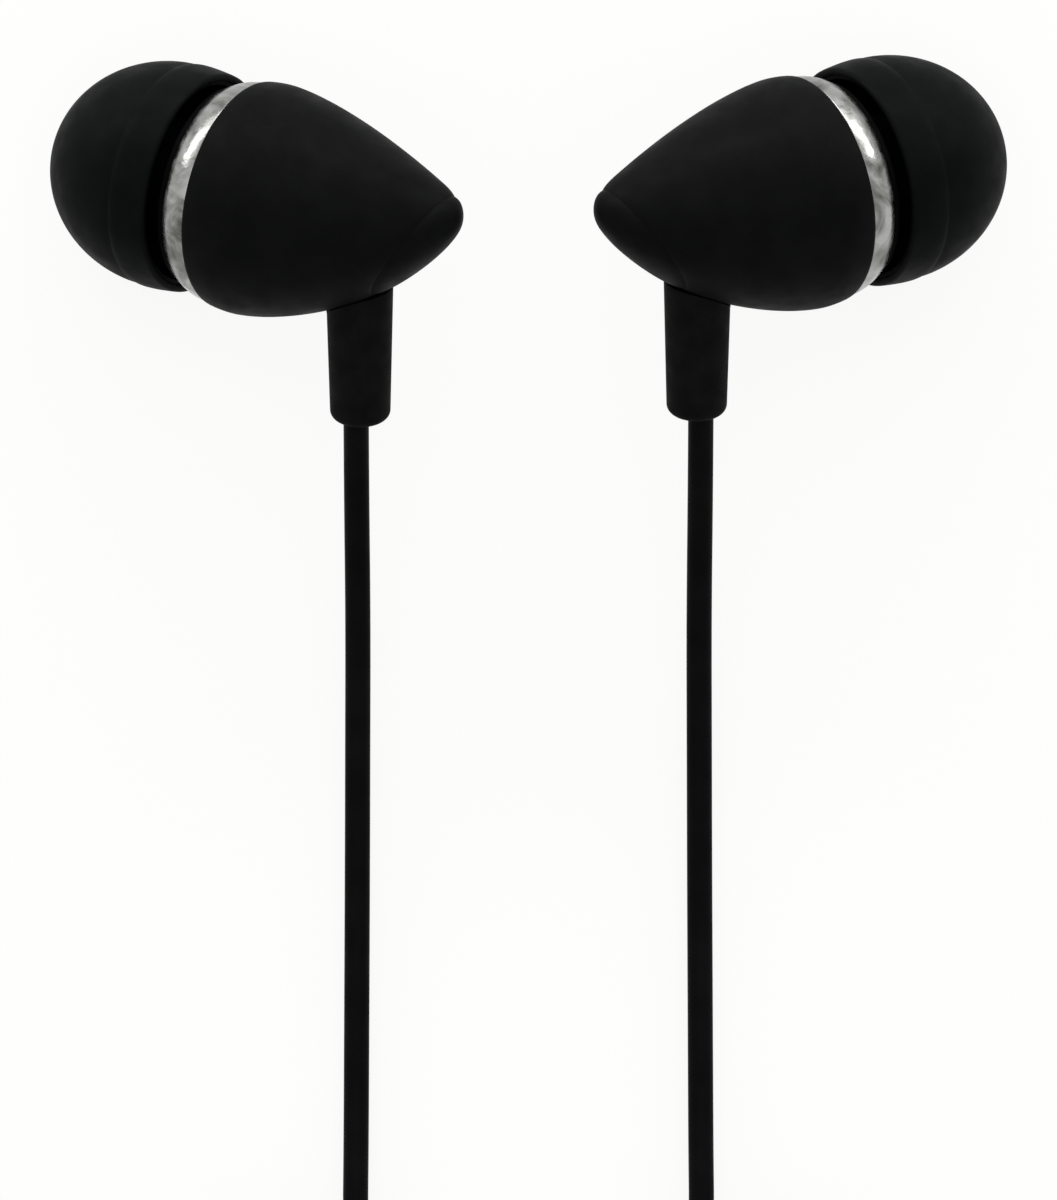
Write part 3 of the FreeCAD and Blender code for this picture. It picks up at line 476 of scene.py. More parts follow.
def make_finishes():
    """The finishes by name, from the darkest and lightest colour, the least and most roughness
    and, where they aren't metal, the specular level."""
    matt = {
        "silicone": ((0.0013, 0.0016, 0.0016), (0.0023, 0.0026, 0.0027), (0.46, 0.60), 0.027,
                     {"grain": 0.25, "bump": 0.12}),
        "shell": ((0.0014, 0.0015, 0.0016), (0.0025, 0.0026, 0.0026), (0.50, 0.64), 0.032,
                  {"grain": 0.14, "bump": 0.22}),
        "front_shell": ((0.0008, 0.0008, 0.0008), (0.0014, 0.0014, 0.0014), (0.50, 0.62), 0.012,
                        {"grain": 0.14}),
        "relief_rubber": ((0.0028, 0.0028, 0.0032), (0.0046, 0.0046, 0.0052), (0.55, 0.70), 0.026,
                          {"mottle": 1.2, "grain": 0.10, "bump": 0.35}),
        "cord_jacket": ((0.0022, 0.0020, 0.0024), (0.0036, 0.0034, 0.0039), (0.42, 0.58), 0.022,
                        {"mottle": 3.0, "grain": 0.18, "bump": 0.15}),
        "film": ((0.30, 0.20, 0.09), (0.40, 0.28, 0.13), (0.12, 0.22), 0.5,
                 {"mottle": 1.5, "bump": 0.05}),
        "foam": ((0.010, 0.010, 0.010), (0.030, 0.030, 0.030), (0.85, 0.98), 0.2,
                 {"mottle": 0.2, "grain": 0.10, "bump": 0.8, "depth": 0.03}),
        "felt": ((0.55, 0.54, 0.50), (0.74, 0.73, 0.69), (0.88, 0.98), 0.2,
                 {"mottle": 0.25, "grain": 0.08, "bump": 0.8, "depth": 0.03}),
        "driver_plastic": ((0.012, 0.012, 0.013), (0.020, 0.020, 0.021), (0.38, 0.50), 0.3, {}),
        "board": ((0.010, 0.085, 0.030), (0.016, 0.120, 0.044), (0.28, 0.42), 0.5,
                  {"mottle": 0.7, "bump": 0.1}),
        "wire": ((0.30, 0.035, 0.020), (0.42, 0.055, 0.030), (0.25, 0.35), 0.5,
                 {"mottle": 0.6, "bump": 0.1}),
        "tie": ((0.0050, 0.0050, 0.0052), (0.0085, 0.0085, 0.0085), (0.40, 0.52), 0.2,
                {"grain": 0.15, "bump": 0.3}),
        "splitter_plastic": ((0.0030, 0.0030, 0.0031), (0.0050, 0.0050, 0.0050), (0.42, 0.55), 0.1,
                             {"grain": 0.14, "bump": 0.3}),
        "plug_plastic": ((0.0030, 0.0030, 0.0031), (0.0050, 0.0050, 0.0050), (0.40, 0.52), 0.1,
                         {"grain": 0.14, "bump": 0.3}),
        "insulator": ((0.006, 0.006, 0.006), (0.010, 0.010, 0.010), (0.30, 0.42), 0.3,
                      {"mottle": 0.8, "bump": 0.1}),
    }
    metal = {
        "ring_chrome": ((0.085, 0.085, 0.078), (0.39, 0.39, 0.38), (0.15, 0.36),
                        {"mottle": 2.2, "grain": 0.30, "bump": 0.40, "depth": 0.03, "detail": 6.0,
                         "distortion": 1.4}),
        "mesh_steel": ((0.42, 0.42, 0.43), (0.58, 0.58, 0.58), (0.22, 0.36),
                       {"mottle": 0.8, "bump": 0.1}),
        "plug_metal": ((0.38, 0.375, 0.36), (0.54, 0.53, 0.51), (0.14, 0.28),
                       {"mottle": 2.5, "bump": 0.05}),
        "magnet": ((0.45, 0.45, 0.46), (0.58, 0.58, 0.58), (0.20, 0.35),
                   {"mottle": 1.0, "bump": 0.1}),
        "driver_steel": ((0.50, 0.50, 0.49), (0.62, 0.62, 0.60), (0.25, 0.40),
                         {"mottle": 1.0, "bump": 0.1}),
        "copper": ((0.62, 0.26, 0.12), (0.78, 0.36, 0.18), (0.20, 0.34),
                   {"mottle": 0.5, "bump": 0.1}),
    }
    made = {}
    for name, (dark, light, rough, specular, rest) in matt.items():
        made[name] = make_finish(name, dark, light, rough, specular, **rest)
    for name, (dark, light, rough, rest) in metal.items():
        made[name] = make_finish(name, dark, light, rough, specular=0.5, metallic=1.0, **rest)
    return made


FINISHES = make_finishes()


# Forms made of rings of points

def add_rings(mesh, rings, place, loop=False):
    """Joins successive rings with faces. A ring of one point is a pole."""
    made = [[mesh.verts.new(place @ Vector(point)) for point in ring] for ring in rings]
    pairs = list(zip(made, made[1:]))
    if loop:
        pairs.append((made[-1], made[0]))
    for first, second in pairs:
        count = max(len(first), len(second))
        for i in range(count):
            j = (i + 1) % count
            corners = [first[i % len(first)], first[j % len(first)],
                       second[j % len(second)], second[i % len(second)]]
            mesh.faces.new([v for k, v in enumerate(corners) if v not in corners[:k]])


def make_piece(name, parts, material, body, stands_for):
    """A mesh piece from parts of (rings, place, loop)."""
    mesh = bmesh.new()
    for rings, place, loop in parts:
        add_rings(mesh, rings, place, loop)
    bmesh.ops.recalc_face_normals(mesh, faces=mesh.faces)
    data = bpy.data.meshes.new(name)
    mesh.to_mesh(data)
    mesh.free()
    data.shade_smooth()
    data.set_sharp_from_angle(angle=math.radians(50))
    data.materials.append(FINISHES[material])
    piece = bpy.data.objects.new(name, data)
    bpy.context.scene.collection.objects.link(piece)
    settle(piece, body, stands_for)
    return piece


def settle(piece, body, stands_for):
    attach(piece, body)
    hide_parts(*stands_for)


def softened(outline, radius, steps=5, closed=True):
    """The outline with each sharp corner rounded. A third number at a point is its own radius."""
    count = len(outline)
    points = []
    for i, corner in enumerate(outline):
        here = Vector(corner[:2])
        if not closed and i in (0, count - 1):
            points.append(here)
            continue
        before = Vector(outline[i - 1][:2]) - here
        after = Vector(outline[(i + 1) % count][:2]) - here
        turn = math.pi - before.angle(after)
        wanted = corner[2] if len(corner) > 2 else radius
        if turn < math.radians(12):
            points.append(here)
            continue
        reach = min(wanted * math.tan(turn / 2), 0.45 * before.length, 0.45 * after.length)
        first = here + before.normalized() * reach
        last = here + after.normalized() * reach
        for k in range(steps + 1):
            t = k / steps
            points.append(first * (1 - t) ** 2 + here * 2 * t * (1 - t) + last * t ** 2)
    return [(p[0], p[1]) for p in points]


def turned(outline, segments=96):
    """Rings about X from an outline of (x, radius)."""
    rings = []
    for x, radius in outline:
        if radius < 1e-6:
            rings.append([(x, 0, 0)])
            continue
        ring = []
        for i in range(segments):
            angle = 2 * math.pi * i / segments
            ring.append((x, radius * math.cos(angle), radius * math.sin(angle)))
        rings.append(ring)
    return rings


def arc_of(count, function):
    return [function(i / (count - 1)) for i in range(count)]


def round_rectangle(width, height, radius, steps=6):
    """Points of a rounded rectangle about the origin."""
    points = []
    for quarter, (x_way, y_way) in enumerate(((1, 1), (-1, 1), (-1, -1), (1, -1))):
        for k in range(steps + 1):
            angle = math.pi / 2 * (quarter + k / steps)
            x = x_way * (width / 2 - radius) + radius * math.cos(angle)
            y = y_way * (height / 2 - radius) + radius * math.sin(angle)
            points.append((x, y))
    return points


def tube(points, radius, sides, above):
    """Rings square to a line of points. Above is a direction that the line never takes."""
    rings = []
    for i, point in enumerate(points):
        heading = Vector(points[min(i + 1, len(points) - 1)]) - Vector(points[max(i - 1, 0)])
        across = heading.cross(above).normalized()
        over = across.cross(heading).normalized()
        ring = []
        for k in range(sides):
            angle = 2 * math.pi * k / sides
            aside = across * math.cos(angle) + over * math.sin(angle)
            ring.append(Vector(point) + radius * aside)
        rings.append(ring)
    return [[Vector(points[0])]] + rings + [[Vector(points[-1])]]


# Ear tip

def dome_place(radius, wall=0.0):
    """Where the front of the dome has this radius."""
    share = radius / (DOME_RADIUS - wall)
    return DOME_CENTRE - (DOME_HALF_LENGTH - wall) * math.sqrt(1 - share ** 2)


def dome_radius(x, wall=0.0):
    share = (x - DOME_CENTRE) / (DOME_HALF_LENGTH - wall)
    return (DOME_RADIUS - wall) * math.sqrt(1 - share ** 2)


def dome_outer(x):
    """The dome, and behind a faint crease the nearly straight skirt, a little proud of it."""
    behind = x - CREASE
    if behind < 0:
        return dome_radius(x) - CREASE_DEPTH * math.exp(-(behind / CREASE_FRONT_WIDTH) ** 2)
    skirt = DOME_RADIUS + SKIRT_PROUD - SKIRT_TAPER * (behind / (SKIRT_END - CREASE)) ** 2
    return skirt - (SKIRT_PROUD + CREASE_DEPTH) * math.exp(-behind / CREASE_REAR_WIDTH)


def ear_tip_outline():
    lip = dome_place(DOME_LIP_RADIUS)
    outline = [(lip + behind, radius) for behind, radius in DOME_LIP]
    lip_angle = math.asin(DOME_LIP_RADIUS / DOME_RADIUS)
    steps = 72
    for i in range(steps + 1):
        angle = lip_angle * (1 - i / steps) + DOME_SWEEP * i / steps
        x = DOME_CENTRE - DOME_HALF_LENGTH * math.cos(angle)
        outline.append((x, dome_outer(x)))
    x = outline[-1][0]
    for i in range(1, 57):
        place = x + (SKIRT_RIM_START - x) * i / 56
        outline.append((place, dome_outer(place)))
    rim = dome_outer(SKIRT_RIM_START)
    for i in range(1, 9):
        angle = math.pi * i / 8
        outline.append((SKIRT_RIM_START + SKIRT_RIM_RADIUS * math.sin(angle),
                        rim - SKIRT_RIM_RADIUS * (1 - math.cos(angle))))
    root = dome_place(SLEEVE_RADIUS, DOME_WALL)
    for i in range(25):
        place = SKIRT_INNER_START + (root - SKIRT_INNER_START) * i / 24
        outline.append((place, dome_radius(place, DOME_WALL)))
    front = NOZZLE_FRONT - NOZZLE_GAP
    sleeve = [(root, SLEEVE_RADIUS), (SLEEVE_END, SLEEVE_RADIUS), (SLEEVE_END, SLEEVE_BORE),
              (front, SLEEVE_BORE), (front, SOUND_HOLE_RADIUS)]
    return outline + softened(sleeve, SLEEVE_ROUND, closed=False)


def make_ear_tip(name, place, body):
    rings = turned(ear_tip_outline(), 128)
    return make_piece(name + "_silicone_tip", [(rings, place, True)], "silicone", body,
                      [name + "_ear_tip"])


def make_grille(name, place):
    """Woven wire cloth in a pressed rim, over the nozzle's bore."""
    rim = [(NOZZLE_FRONT + behind, radius) for behind, radius in GRILLE_RIM]
    parts = [(turned(softened(rim, 0.05), 64), place, True)]
    middle = NOZZLE_FRONT + GRILLE_MIDDLE
    steps = 56
    most = int(GRILLE_REACH / GRILLE_PITCH)
    for i in range(-most, most + 1):
        offset = GRILLE_PITCH * i
        half = math.sqrt(GRILLE_REACH ** 2 - offset ** 2)
        for way in (0, 1):
            line = []
            for k in range(steps + 1):
                s = half * (2 * k / steps - 1)
                x = middle + GRILLE_WAVE * math.cos(math.pi * (s / GRILLE_PITCH + i + way))
                line.append((x, s, offset) if way else (x, offset, s))
            parts.append((tube(line, GRILLE_WIRE_RADIUS, 6, Vector((1, 0, 0))), place, False))
    return make_piece(name + "_woven_grille", parts, "mesh_steel", "root", [name + "_nozzle_mesh"])


# Trim ring

def make_trim_ring(name, place):
    """A chromed band with a crowned face."""
    mean = (RING_FRONT_RADIUS + RING_REAR_RADIUS) / 2
    pull = 2 * (mean + RING_CROWN) - mean
    face = arc_of(13, lambda t: (RING_LENGTH * t, RING_FRONT_RADIUS * (1 - t) ** 2
                                 + pull * 2 * t * (1 - t) + RING_REAR_RADIUS * t ** 2))
    face[0] = (0.0, RING_FRONT_RADIUS, RING_FRONT_ROUND)
    face[-1] = (RING_REAR, RING_REAR_RADIUS, RING_REAR_ROUND)
    outline = softened(face + [(RING_REAR, RING_BORE), (0.0, RING_BORE)], 0.08)
    return make_piece(name + "_chrome_ring", [(turned(outline, 128), place, True)], "ring_chrome",
                      "root", [name + "_trim_ring"])


# Rear housing and tail cap

def teardrop_radius(x):
    if x < BODY_WIDEST:
        share = (BODY_WIDEST - x) / (BODY_WIDEST - RING_LENGTH)
        return BODY_RADIUS - BODY_FRONT_STEP * share ** 2
    return BODY_RADIUS * (1 - ((x - BODY_WIDEST) / TAIL_REACH) ** TAIL_FULLNESS)


def teardrop_rise(x):
    return TAIL_BEND * max(x - BODY_WIDEST, 0) ** 2


def teardrop_point(x, angle, inset):
    radius = max(teardrop_radius(x) - inset, 0)
    return Vector((x, radius * math.sin(angle), teardrop_rise(x) + radius * math.cos(angle)))


def cap_seam():
    """The seam's distance from the origin, along the cap's normal."""
    end = BODY_WIDEST + TAIL_REACH
    return Vector((end, 0, teardrop_rise(end))).dot(CAP_NORMAL) - CAP_CUT


def station_at(angle, inset, distance):
    """How far back the teardrop meets the plane at this distance along the cap's normal."""
    low = RING_LENGTH
    high = BODY_WIDEST + TAIL_REACH
    for _ in range(40):
        middle = (low + high) / 2
        if teardrop_point(middle, angle, inset).dot(CAP_NORMAL) < distance:
            low = middle
        else:
            high = middle
    return low


def body_angles():
    return [2 * math.pi * i / 128 for i in range(128)]


def cap_ring(distance, inset):
    return [teardrop_point(station_at(a, inset, distance), a, inset) for a in body_angles()]


def body_rings(first, ends, inset, count):
    """Rings of the teardrop, evenly from a first place to an end of its own at each angle."""
    rings = []
    for share in (k / (count - 1) for k in range(count)):
        rings.append([teardrop_point(first + (end - first) * share, a, inset)
                      for a, end in zip(body_angles(), ends)])
    return rings


def shrunk(ring, share):
    """The ring drawn towards its middle."""
    centre = sum(ring, Vector()) / len(ring)
    return [centre + (point - centre) * share for point in ring]


def make_rear_housing(name, place):
    """The hollow shell, from the trim ring to the softened edge at the cap's seam."""
    seam = cap_seam()
    rings = [[teardrop_point(RING_LENGTH + behind, a, inset) for a in body_angles()]
             for behind, inset in BODY_FRONT_EDGE]
    ends = [station_at(a, 0, seam + BODY_TAIL_EDGE_START) for a in body_angles()]
    rings += body_rings(RING_LENGTH + BODY_SIDE_START, ends, 0, 65)
    rings += [cap_ring(seam + distance, inset) for distance, inset in BODY_TAIL_EDGE]
    rings.append(cap_ring(seam, BODY_WALL))
    inner_ends = [station_at(a, BODY_WALL, seam - CAP_PLUG_STEP) for a in body_angles()]
    inner_start = RING_LENGTH + BODY_FRONT_LIP
    rings += reversed(body_rings(inner_start, inner_ends, BODY_WALL, 16))
    rings.append([teardrop_point(inner_start, a, BODY_FRONT_LIP_INSET) for a in body_angles()])
    return make_piece(name + "_teardrop_shell", [(rings, place, True)], "shell", "root",
                      [name + "_rear_housing"])


def make_tail_cap(name, place):
    """The oval cap, crowned like a cushion, with a plug inside the shell."""
    seam = cap_seam()
    inside = cap_ring(seam - CAP_PLUG_DEPTH, CAP_PLUG_INSET)
    rings = [[sum(inside, Vector()) / len(inside)], inside,
             cap_ring(seam - CAP_PLUG_STEP, CAP_PLUG_INSET), cap_ring(seam, CAP_PLUG_INSET)]
    rings += [cap_ring(seam + distance, inset) for distance, inset in CAP_EDGE]
    rings.append(cap_ring(seam + CAP_EDGE_END, CAP_STEP))
    rise = CAP_THICKNESS - CAP_EDGE_END + CAP_CROWN
    steps = 24
    for k in range(1, steps):
        angle = math.pi / 2 * k / steps
        ring = cap_ring(seam + CAP_EDGE_END + rise * math.sin(angle), CAP_STEP)
        rings.append(shrunk(ring, math.cos(angle) ** CAP_FULLNESS))
    top = cap_ring(seam + CAP_EDGE_END + rise, CAP_STEP)
    rings.append([sum(top, Vector()) / len(top)])
    return make_piece(name + "_oval_cap", [(rings, place, False)], "shell", "root",
                      [name + "_tail_cap"])


# Strain relief

def under_shell(x, y, inset):
    """Height of the teardrop's lower side over this place."""
    radius = teardrop_radius(x) - inset
    return teardrop_rise(x) - math.sqrt(max(radius ** 2 - y ** 2, 0))


def flange_top():
    return under_shell(RELIEF_X, 0, BODY_WALL) + RELIEF_FLANGE_THICKNESS


def relief_ring(radius, height=None, inset=None, shift=0.0):
    """A ring about the relief's axis, at a height or on the shell's lower side."""
    ring = []
    for i in range(64):
        angle = 2 * math.pi * i / 64
        x = RELIEF_X - shift + radius * math.cos(angle)
        y = radius * math.sin(angle)
        ring.append(Vector((x, y, height if inset is None else under_shell(x, y, inset))))
    return ring


def relief_radius(z):
    share = (-z - RELIEF_START) / (RELIEF_END - RELIEF_START)
    return RELIEF_TOP_RADIUS + (RELIEF_END_RADIUS - RELIEF_TOP_RADIUS) * share


def relief_side(share):
    """A ring of the sleeve's side, from under the shell at 0 to its rounding at 1."""
    ring = []
    for point in relief_ring(RELIEF_TOP_RADIUS, inset=-RELIEF_TOP_CLEAR):
        z = point.z * (1 - share) + (RELIEF_ROUND - RELIEF_END) * share
        scale = relief_radius(z) / RELIEF_TOP_RADIUS
        ring.append(Vector((RELIEF_X + (point.x - RELIEF_X) * scale, point.y * scale, z)))
    return ring


def make_strain_relief(name, place):
    """The sleeve, with a neck through the shell's wall and a flange inside it."""
    top = flange_top()
    rings = [
        relief_ring(RELIEF_BORE, height=top, shift=CORD_OFFSET),
        relief_ring(RELIEF_FLANGE_RADIUS - RELIEF_FLANGE_ROUND, height=top),
        relief_ring(RELIEF_FLANGE_RADIUS, height=top - RELIEF_FLANGE_ROUND),
        relief_ring(RELIEF_FLANGE_RADIUS, inset=BODY_WALL + RELIEF_GAP),
        relief_ring(RELIEF_NECK_RADIUS, inset=BODY_WALL + RELIEF_GAP),
        relief_ring(RELIEF_NECK_RADIUS, inset=-RELIEF_TOP_EDGE[0][1]),
    ]
    for less, clear in RELIEF_TOP_EDGE:
        rings.append(relief_ring(RELIEF_TOP_RADIUS - less, inset=-clear))
    rings += arc_of(25, relief_side)
    end_radius = relief_radius(RELIEF_ROUND - RELIEF_END)
    for k in range(1, 9):
        angle = math.pi / 2 * k / 8
        height = -RELIEF_END + RELIEF_ROUND * (1 - math.sin(angle))
        rings.append(relief_ring(end_radius - RELIEF_ROUND * (1 - math.cos(angle)), height=height))
    for share in (0.5, 0.85, 1.0):
        radius = (end_radius - RELIEF_ROUND) * (1 - share) + (RELIEF_BORE + RELIEF_MOUTH) * share
        rings.append(relief_ring(radius, height=-RELIEF_END, shift=CORD_OFFSET * share))
    rings.append(relief_ring(RELIEF_BORE, height=-RELIEF_END + RELIEF_MOUTH, shift=CORD_OFFSET))
    return make_piece(name + "_relief_sleeve", [(rings, place, True)], "relief_rubber", "root",
                      [name + "_strain_relief"])


def make_knot(name, place):
    """The cord inside the strain relief, knotted above its flange."""
    start = flange_top() + RELIEF_GAP + RELIEF_END
    end = start + KNOT_LENGTH
    radius = BRANCH_DIAMETER / 2
    outline = [(0, 0), (0, radius), (start, radius), (start + KNOT_SHOULDER, KNOT_RADIUS),
               (end - KNOT_SHOULDER, KNOT_RADIUS), (end, radius), (end, 0)]
    turn = Matrix.Translation((RELIEF_X - CORD_OFFSET, 0, -RELIEF_END)) \
        @ Matrix.Rotation(-math.pi / 2, 4, "Y")
    rings = turned(softened(outline, KNOT_ROUND, closed=False), 48)
    return make_piece(name + "_inner_cord", [(rings, place @ turn, False)], "cord_jacket", "root",
                      [name + "_cord_knot"])


# Driver

def washer(front, rear, bore, radius, rounding):
    outline = [(front, bore), (front, radius), (rear, radius), (rear, bore)]
    return turned(softened(outline, rounding))


def make_gasket(name, place):
    rings = washer(GASKET_FRONT, GASKET_REAR, GASKET_BORE, GASKET_RADIUS, 0.08)
    return make_piece(name + "_foam_gasket", [(rings, place, True)], "foam", "root",
                      [name + "_driver_gasket"])


def make_felt(name, place):
    rings = washer(FELT_FRONT, FELT_FRONT + FELT_THICKNESS, FELT_BORE, FELT_RADIUS, 0.05)
    return make_piece(name + "_felt_ring", [(rings, place, True)], "felt", "root",
                      [name + "_vent_felt"])


def make_diaphragm(name, place, body):
    front = arc_of(13, lambda t: (DIAPHRAGM - FILM_DOME * (1 - t ** 2), WINDING_RADIUS * t))
    front.append((DIAPHRAGM, SURROUND_START))
    front += arc_of(13, lambda t: (DIAPHRAGM - SURROUND_HEIGHT * math.sin(math.pi * t),
                                   SURROUND_START + SURROUND_WIDTH * t))[1:]
    front.append((DIAPHRAGM, FILM_RADIUS))
    rear = [(x + FILM, radius) for x, radius in reversed(front)]
    return make_piece(name + "_film_cone", [(turned(front + rear), place, False)], "film", body,
                      [name + "_diaphragm"])


def make_voice_coil(name, place, body):
    """Two layers of fine wire, wound side by side."""
    start = DIAPHRAGM + FILM
    width = WINDING_DEPTH / WINDING_TURNS
    rim = WINDING_RADIUS + WINDING_WALL - WINDING_GROOVE
    outer = []
    for i in range(WINDING_TURNS):
        for k in range(6):
            t = (k + 0.5) / 6
            outer.append((start + width * (i + t), rim + WINDING_GROOVE * math.sin(math.pi * t)))
    inner = [(x, 2 * WINDING_RADIUS + WINDING_WALL - radius) for x, radius in reversed(outer)]
    return make_piece(name + "_copper_winding", [(turned(outer + inner), place, True)], "copper",
                      body, [name + "_voice_coil"])


# Coil ties

def make_tie(name, coil, stands_for):
    """A band round the bundle of turns, with its free end on top, drawn above the coil's middle."""
    inner_turn = coil.radius - (coil.pairs - 0.5) * coil.pitch
    reach = (TIE_WIDTH + coil.pitch) / 2
    sag = inner_turn - math.sqrt(inner_turn ** 2 - reach ** 2)
    spread = (coil.pairs - 1) * coil.pitch + coil.diameter + sag
    height = coil.pitch + coil.diameter
    wrap = TIE_THICKNESS / 2 + TIE_GAP
    middle = Vector((0, coil.radius - (coil.pairs * coil.pitch + sag) / 2, coil.pitch / 2))
    line = round_rectangle(spread + 2 * wrap, height + 2 * wrap, coil.diameter / 2 + wrap, 8)
    section = round_rectangle(TIE_WIDTH, TIE_THICKNESS, TIE_ROUND, 3)
    rings = []
    for i, (y, z) in enumerate(line):
        before = Vector(line[i - 1])
        after = Vector(line[(i + 1) % len(line)])
        heading = (after - before).normalized()
        rings.append([middle + Vector((across, y + heading.y * out, z - heading.x * out))
                      for across, out in section])
    top = height / 2 + TIE_GAP + TIE_THICKNESS * 1.5
    half = TIE_TONGUE_LENGTH / 2
    stations = [(place - half, share) for place, share in TIE_TONGUE_END]
    stations += [(-y, share) for y, share in reversed(stations)]
    tongue = [[middle + Vector((0, -half, top))]]
    for y, share in stations:
        section = round_rectangle(TIE_TONGUE_WIDTH * share, TIE_THICKNESS * (0.5 + share / 2),
                                  TIE_TONGUE_ROUND, 3)
        drop = TIE_THICKNESS * (1 - share) / 4
        tongue.append([middle + Vector((x, y, top + z - drop)) for x, z in section])
    tongue.append([middle + Vector((0, half, top))])
    place = TO_METRES @ Matrix.Translation(coil.centre) @ Matrix.Rotation(coil.tie_turn, 4, "Z")
    return make_piece(name, [(rings, place, True), (tongue, place, False)], "tie", "root",
                      [stands_for])


# Splitter and plug

def make_splitter():
    stations = list(SPLITTER_EDGE) + [(SPLITTER_LENGTH * k / 12, 0) for k in range(1, 12)]
    stations += [(SPLITTER_LENGTH - place, inset) for place, inset in reversed(SPLITTER_EDGE)]
    middle = SPLITTER_THICKNESS / 2
    rings = [[Vector((0, SPLITTER_TOP, middle))]]
    for place, inset in stations:
        share = place / SPLITTER_LENGTH
        width = SPLITTER_TOP_WIDTH * (1 - share) + SPLITTER_END_WIDTH * share - 2 * inset
        section = round_rectangle(width, SPLITTER_THICKNESS - 2 * inset, SPLITTER_CORNER - inset, 8)
        rings.append([Vector((x, SPLITTER_TOP - place, middle + z)) for x, z in section])
    rings.append([Vector((0, SPLITTER_TOP - SPLITTER_LENGTH, middle))])
    return make_piece("splitter_sleeve", [(rings, TO_METRES, False)], "splitter_plastic", "root",
                      ["cord_splitter"])


def plug_boot():
    """The plug's strain relief, with three grooves."""
    outline = [(0, 0), (0, PLUG_RELIEF_RADIUS, 0.25)]
    for i in range(3):
        middle = PLUG_RELIEF / 4 * (i + 1)
        outer = PLUG_RELIEF_RADIUS + PLUG_RELIEF_FLARE * middle / PLUG_RELIEF
        outline += [(middle + along, outer + out) for along, out in PLUG_RELIEF_GROOVE]
    outline += [(PLUG_RELIEF, PLUG_RELIEF_RADIUS + PLUG_RELIEF_FLARE, 0.05), (PLUG_RELIEF, 0)]
    return outline


def plug_grip(start, end, root):
    """The grip, with three finger grooves and the contacts' socket in its end."""
    outline = [(start, 0), (start, PLUG_GRIP_START_RADIUS, 0.25),
               (start + PLUG_GRIP_TAPER, PLUG_GRIP_RADIUS, 1.5)]
    for i in range(3):
        middle = start + PLUG_GRIP_GROOVE_START + PLUG_GRIP_GROOVE_PITCH * i
        outline += [(middle + along, PLUG_GRIP_RADIUS + out) for along, out in PLUG_GRIP_GROOVE]
    outline += [(end - PLUG_GRIP_ROUND, PLUG_GRIP_RADIUS, 0.8),
                (end, PLUG_GRIP_RADIUS - PLUG_GRIP_ROUND, 0.25),
                (end, PLUG_SOCKET_RADIUS, 0.08), (root, PLUG_SOCKET_RADIUS), (root, 0)]
    return outline


def make_plug():
    """The pieces of the three-pole plug, which lies along X."""
    place = TO_METRES @ Matrix.Translation((PLUG_START, PLUG_Y, PLUG_GRIP_RADIUS))
    end = PLUG_RELIEF + PLUG_GRIP
    root = end - PLUG_SOCKET_DEPTH
    first = end + SLEEVE_CONTACT
    first_end = first + INSULATOR_LENGTH
    second = first + RING_CONTACT_PITCH
    tip = second + INSULATOR_LENGTH
    outer = CONTACT_RADIUS
    sleeve = [(root, SLEEVE_CONTACT_BORE), (root, CONTACT_ROOT_RADIUS), (end, CONTACT_ROOT_RADIUS),
              (end, outer), (first, outer), (first, SLEEVE_CONTACT_BORE)]
    rings = [(root, INSULATOR_BORE), (root, INSULATOR_RADIUS), (first, INSULATOR_RADIUS),
             (first, outer), (first_end, outer), (first_end, INSULATOR_RADIUS),
             (second, INSULATOR_RADIUS), (second, outer), (tip, outer), (tip, INSULATOR_BORE)]
    band = [(first_end, SLEEVE_CONTACT_BORE), (first_end, outer), (second, outer),
            (second, SLEEVE_CONTACT_BORE)]
    nose = [(root, 0), (root, TIP_ROD_RADIUS), (tip, TIP_ROD_RADIUS), (tip, TIP_RADIUS, 0.05),
            (tip + TIP_WAIST, TIP_WAIST_RADIUS, 0.6), (tip + TIP_SHOULDER, TIP_RADIUS, 0.6),
            (tip + TIP_LENGTH, TIP_ROD_RADIUS, 0.5), (tip + TIP_LENGTH, 0)]
    made = []
    for name, outline, rounding, finish, node, loop in (
            ("plug_boot", plug_boot(), 0.10, "plug_plastic", "plug_strain_relief", False),
            ("plug_handle", plug_grip(PLUG_RELIEF, end, root), 0.20, "plug_plastic", "plug_grip",
             False),
            ("plug_long_contact", sleeve, 0.03, "plug_metal", "plug_sleeve_contact", True),
            ("plug_insulator_rings", rings, 0.02, "insulator", "plug_insulators", True),
            ("plug_middle_contact", band, 0.03, "plug_metal", "plug_ring_contact", True),
            ("plug_nose_contact", nose, 0.05, "plug_metal", "plug_tip_contact", False)):
        form = turned(softened(outline, rounding, closed=loop), 64)
        made.append(make_piece(name, [(form, place, loop)], finish, "root", [node]))
    return made


# Wires inside a bud

def make_wires(name, place):
    """Two wires that curve from the knot to the board's solder joints."""
    top = flange_top() + RELIEF_GAP + KNOT_LENGTH
    inverse = place.inverted()
    board = [inverse @ v.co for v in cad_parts[name + "_terminal_board"].data.vertices]
    back = max(p.x for p in board)
    parts = []
    for side in (-1, 1):
        start = Vector((RELIEF_X - CORD_OFFSET, side * WIRE_SPREAD, top))
        end = Vector((back, side * SOLDER_Y, SOLDER_Z))
        points = [start, start + Vector((0, 0, WIRE_LEAD)), end + Vector((WIRE_LEAD, 0, 0)), end]
        line = []
        for k in range(25):
            t = k / 24
            weights = ((1 - t) ** 3, 3 * t * (1 - t) ** 2, 3 * t * t * (1 - t), t ** 3)
            line.append(sum((p * w for p, w in zip(points, weights)), Vector()))
        parts.append((tube(line, WIRE_RADIUS, 10, Vector((0, 1, 0))), place, False))
    return make_piece(name + "_enamel_wires", parts, "wire", "root", [name + "_lead_wires"])


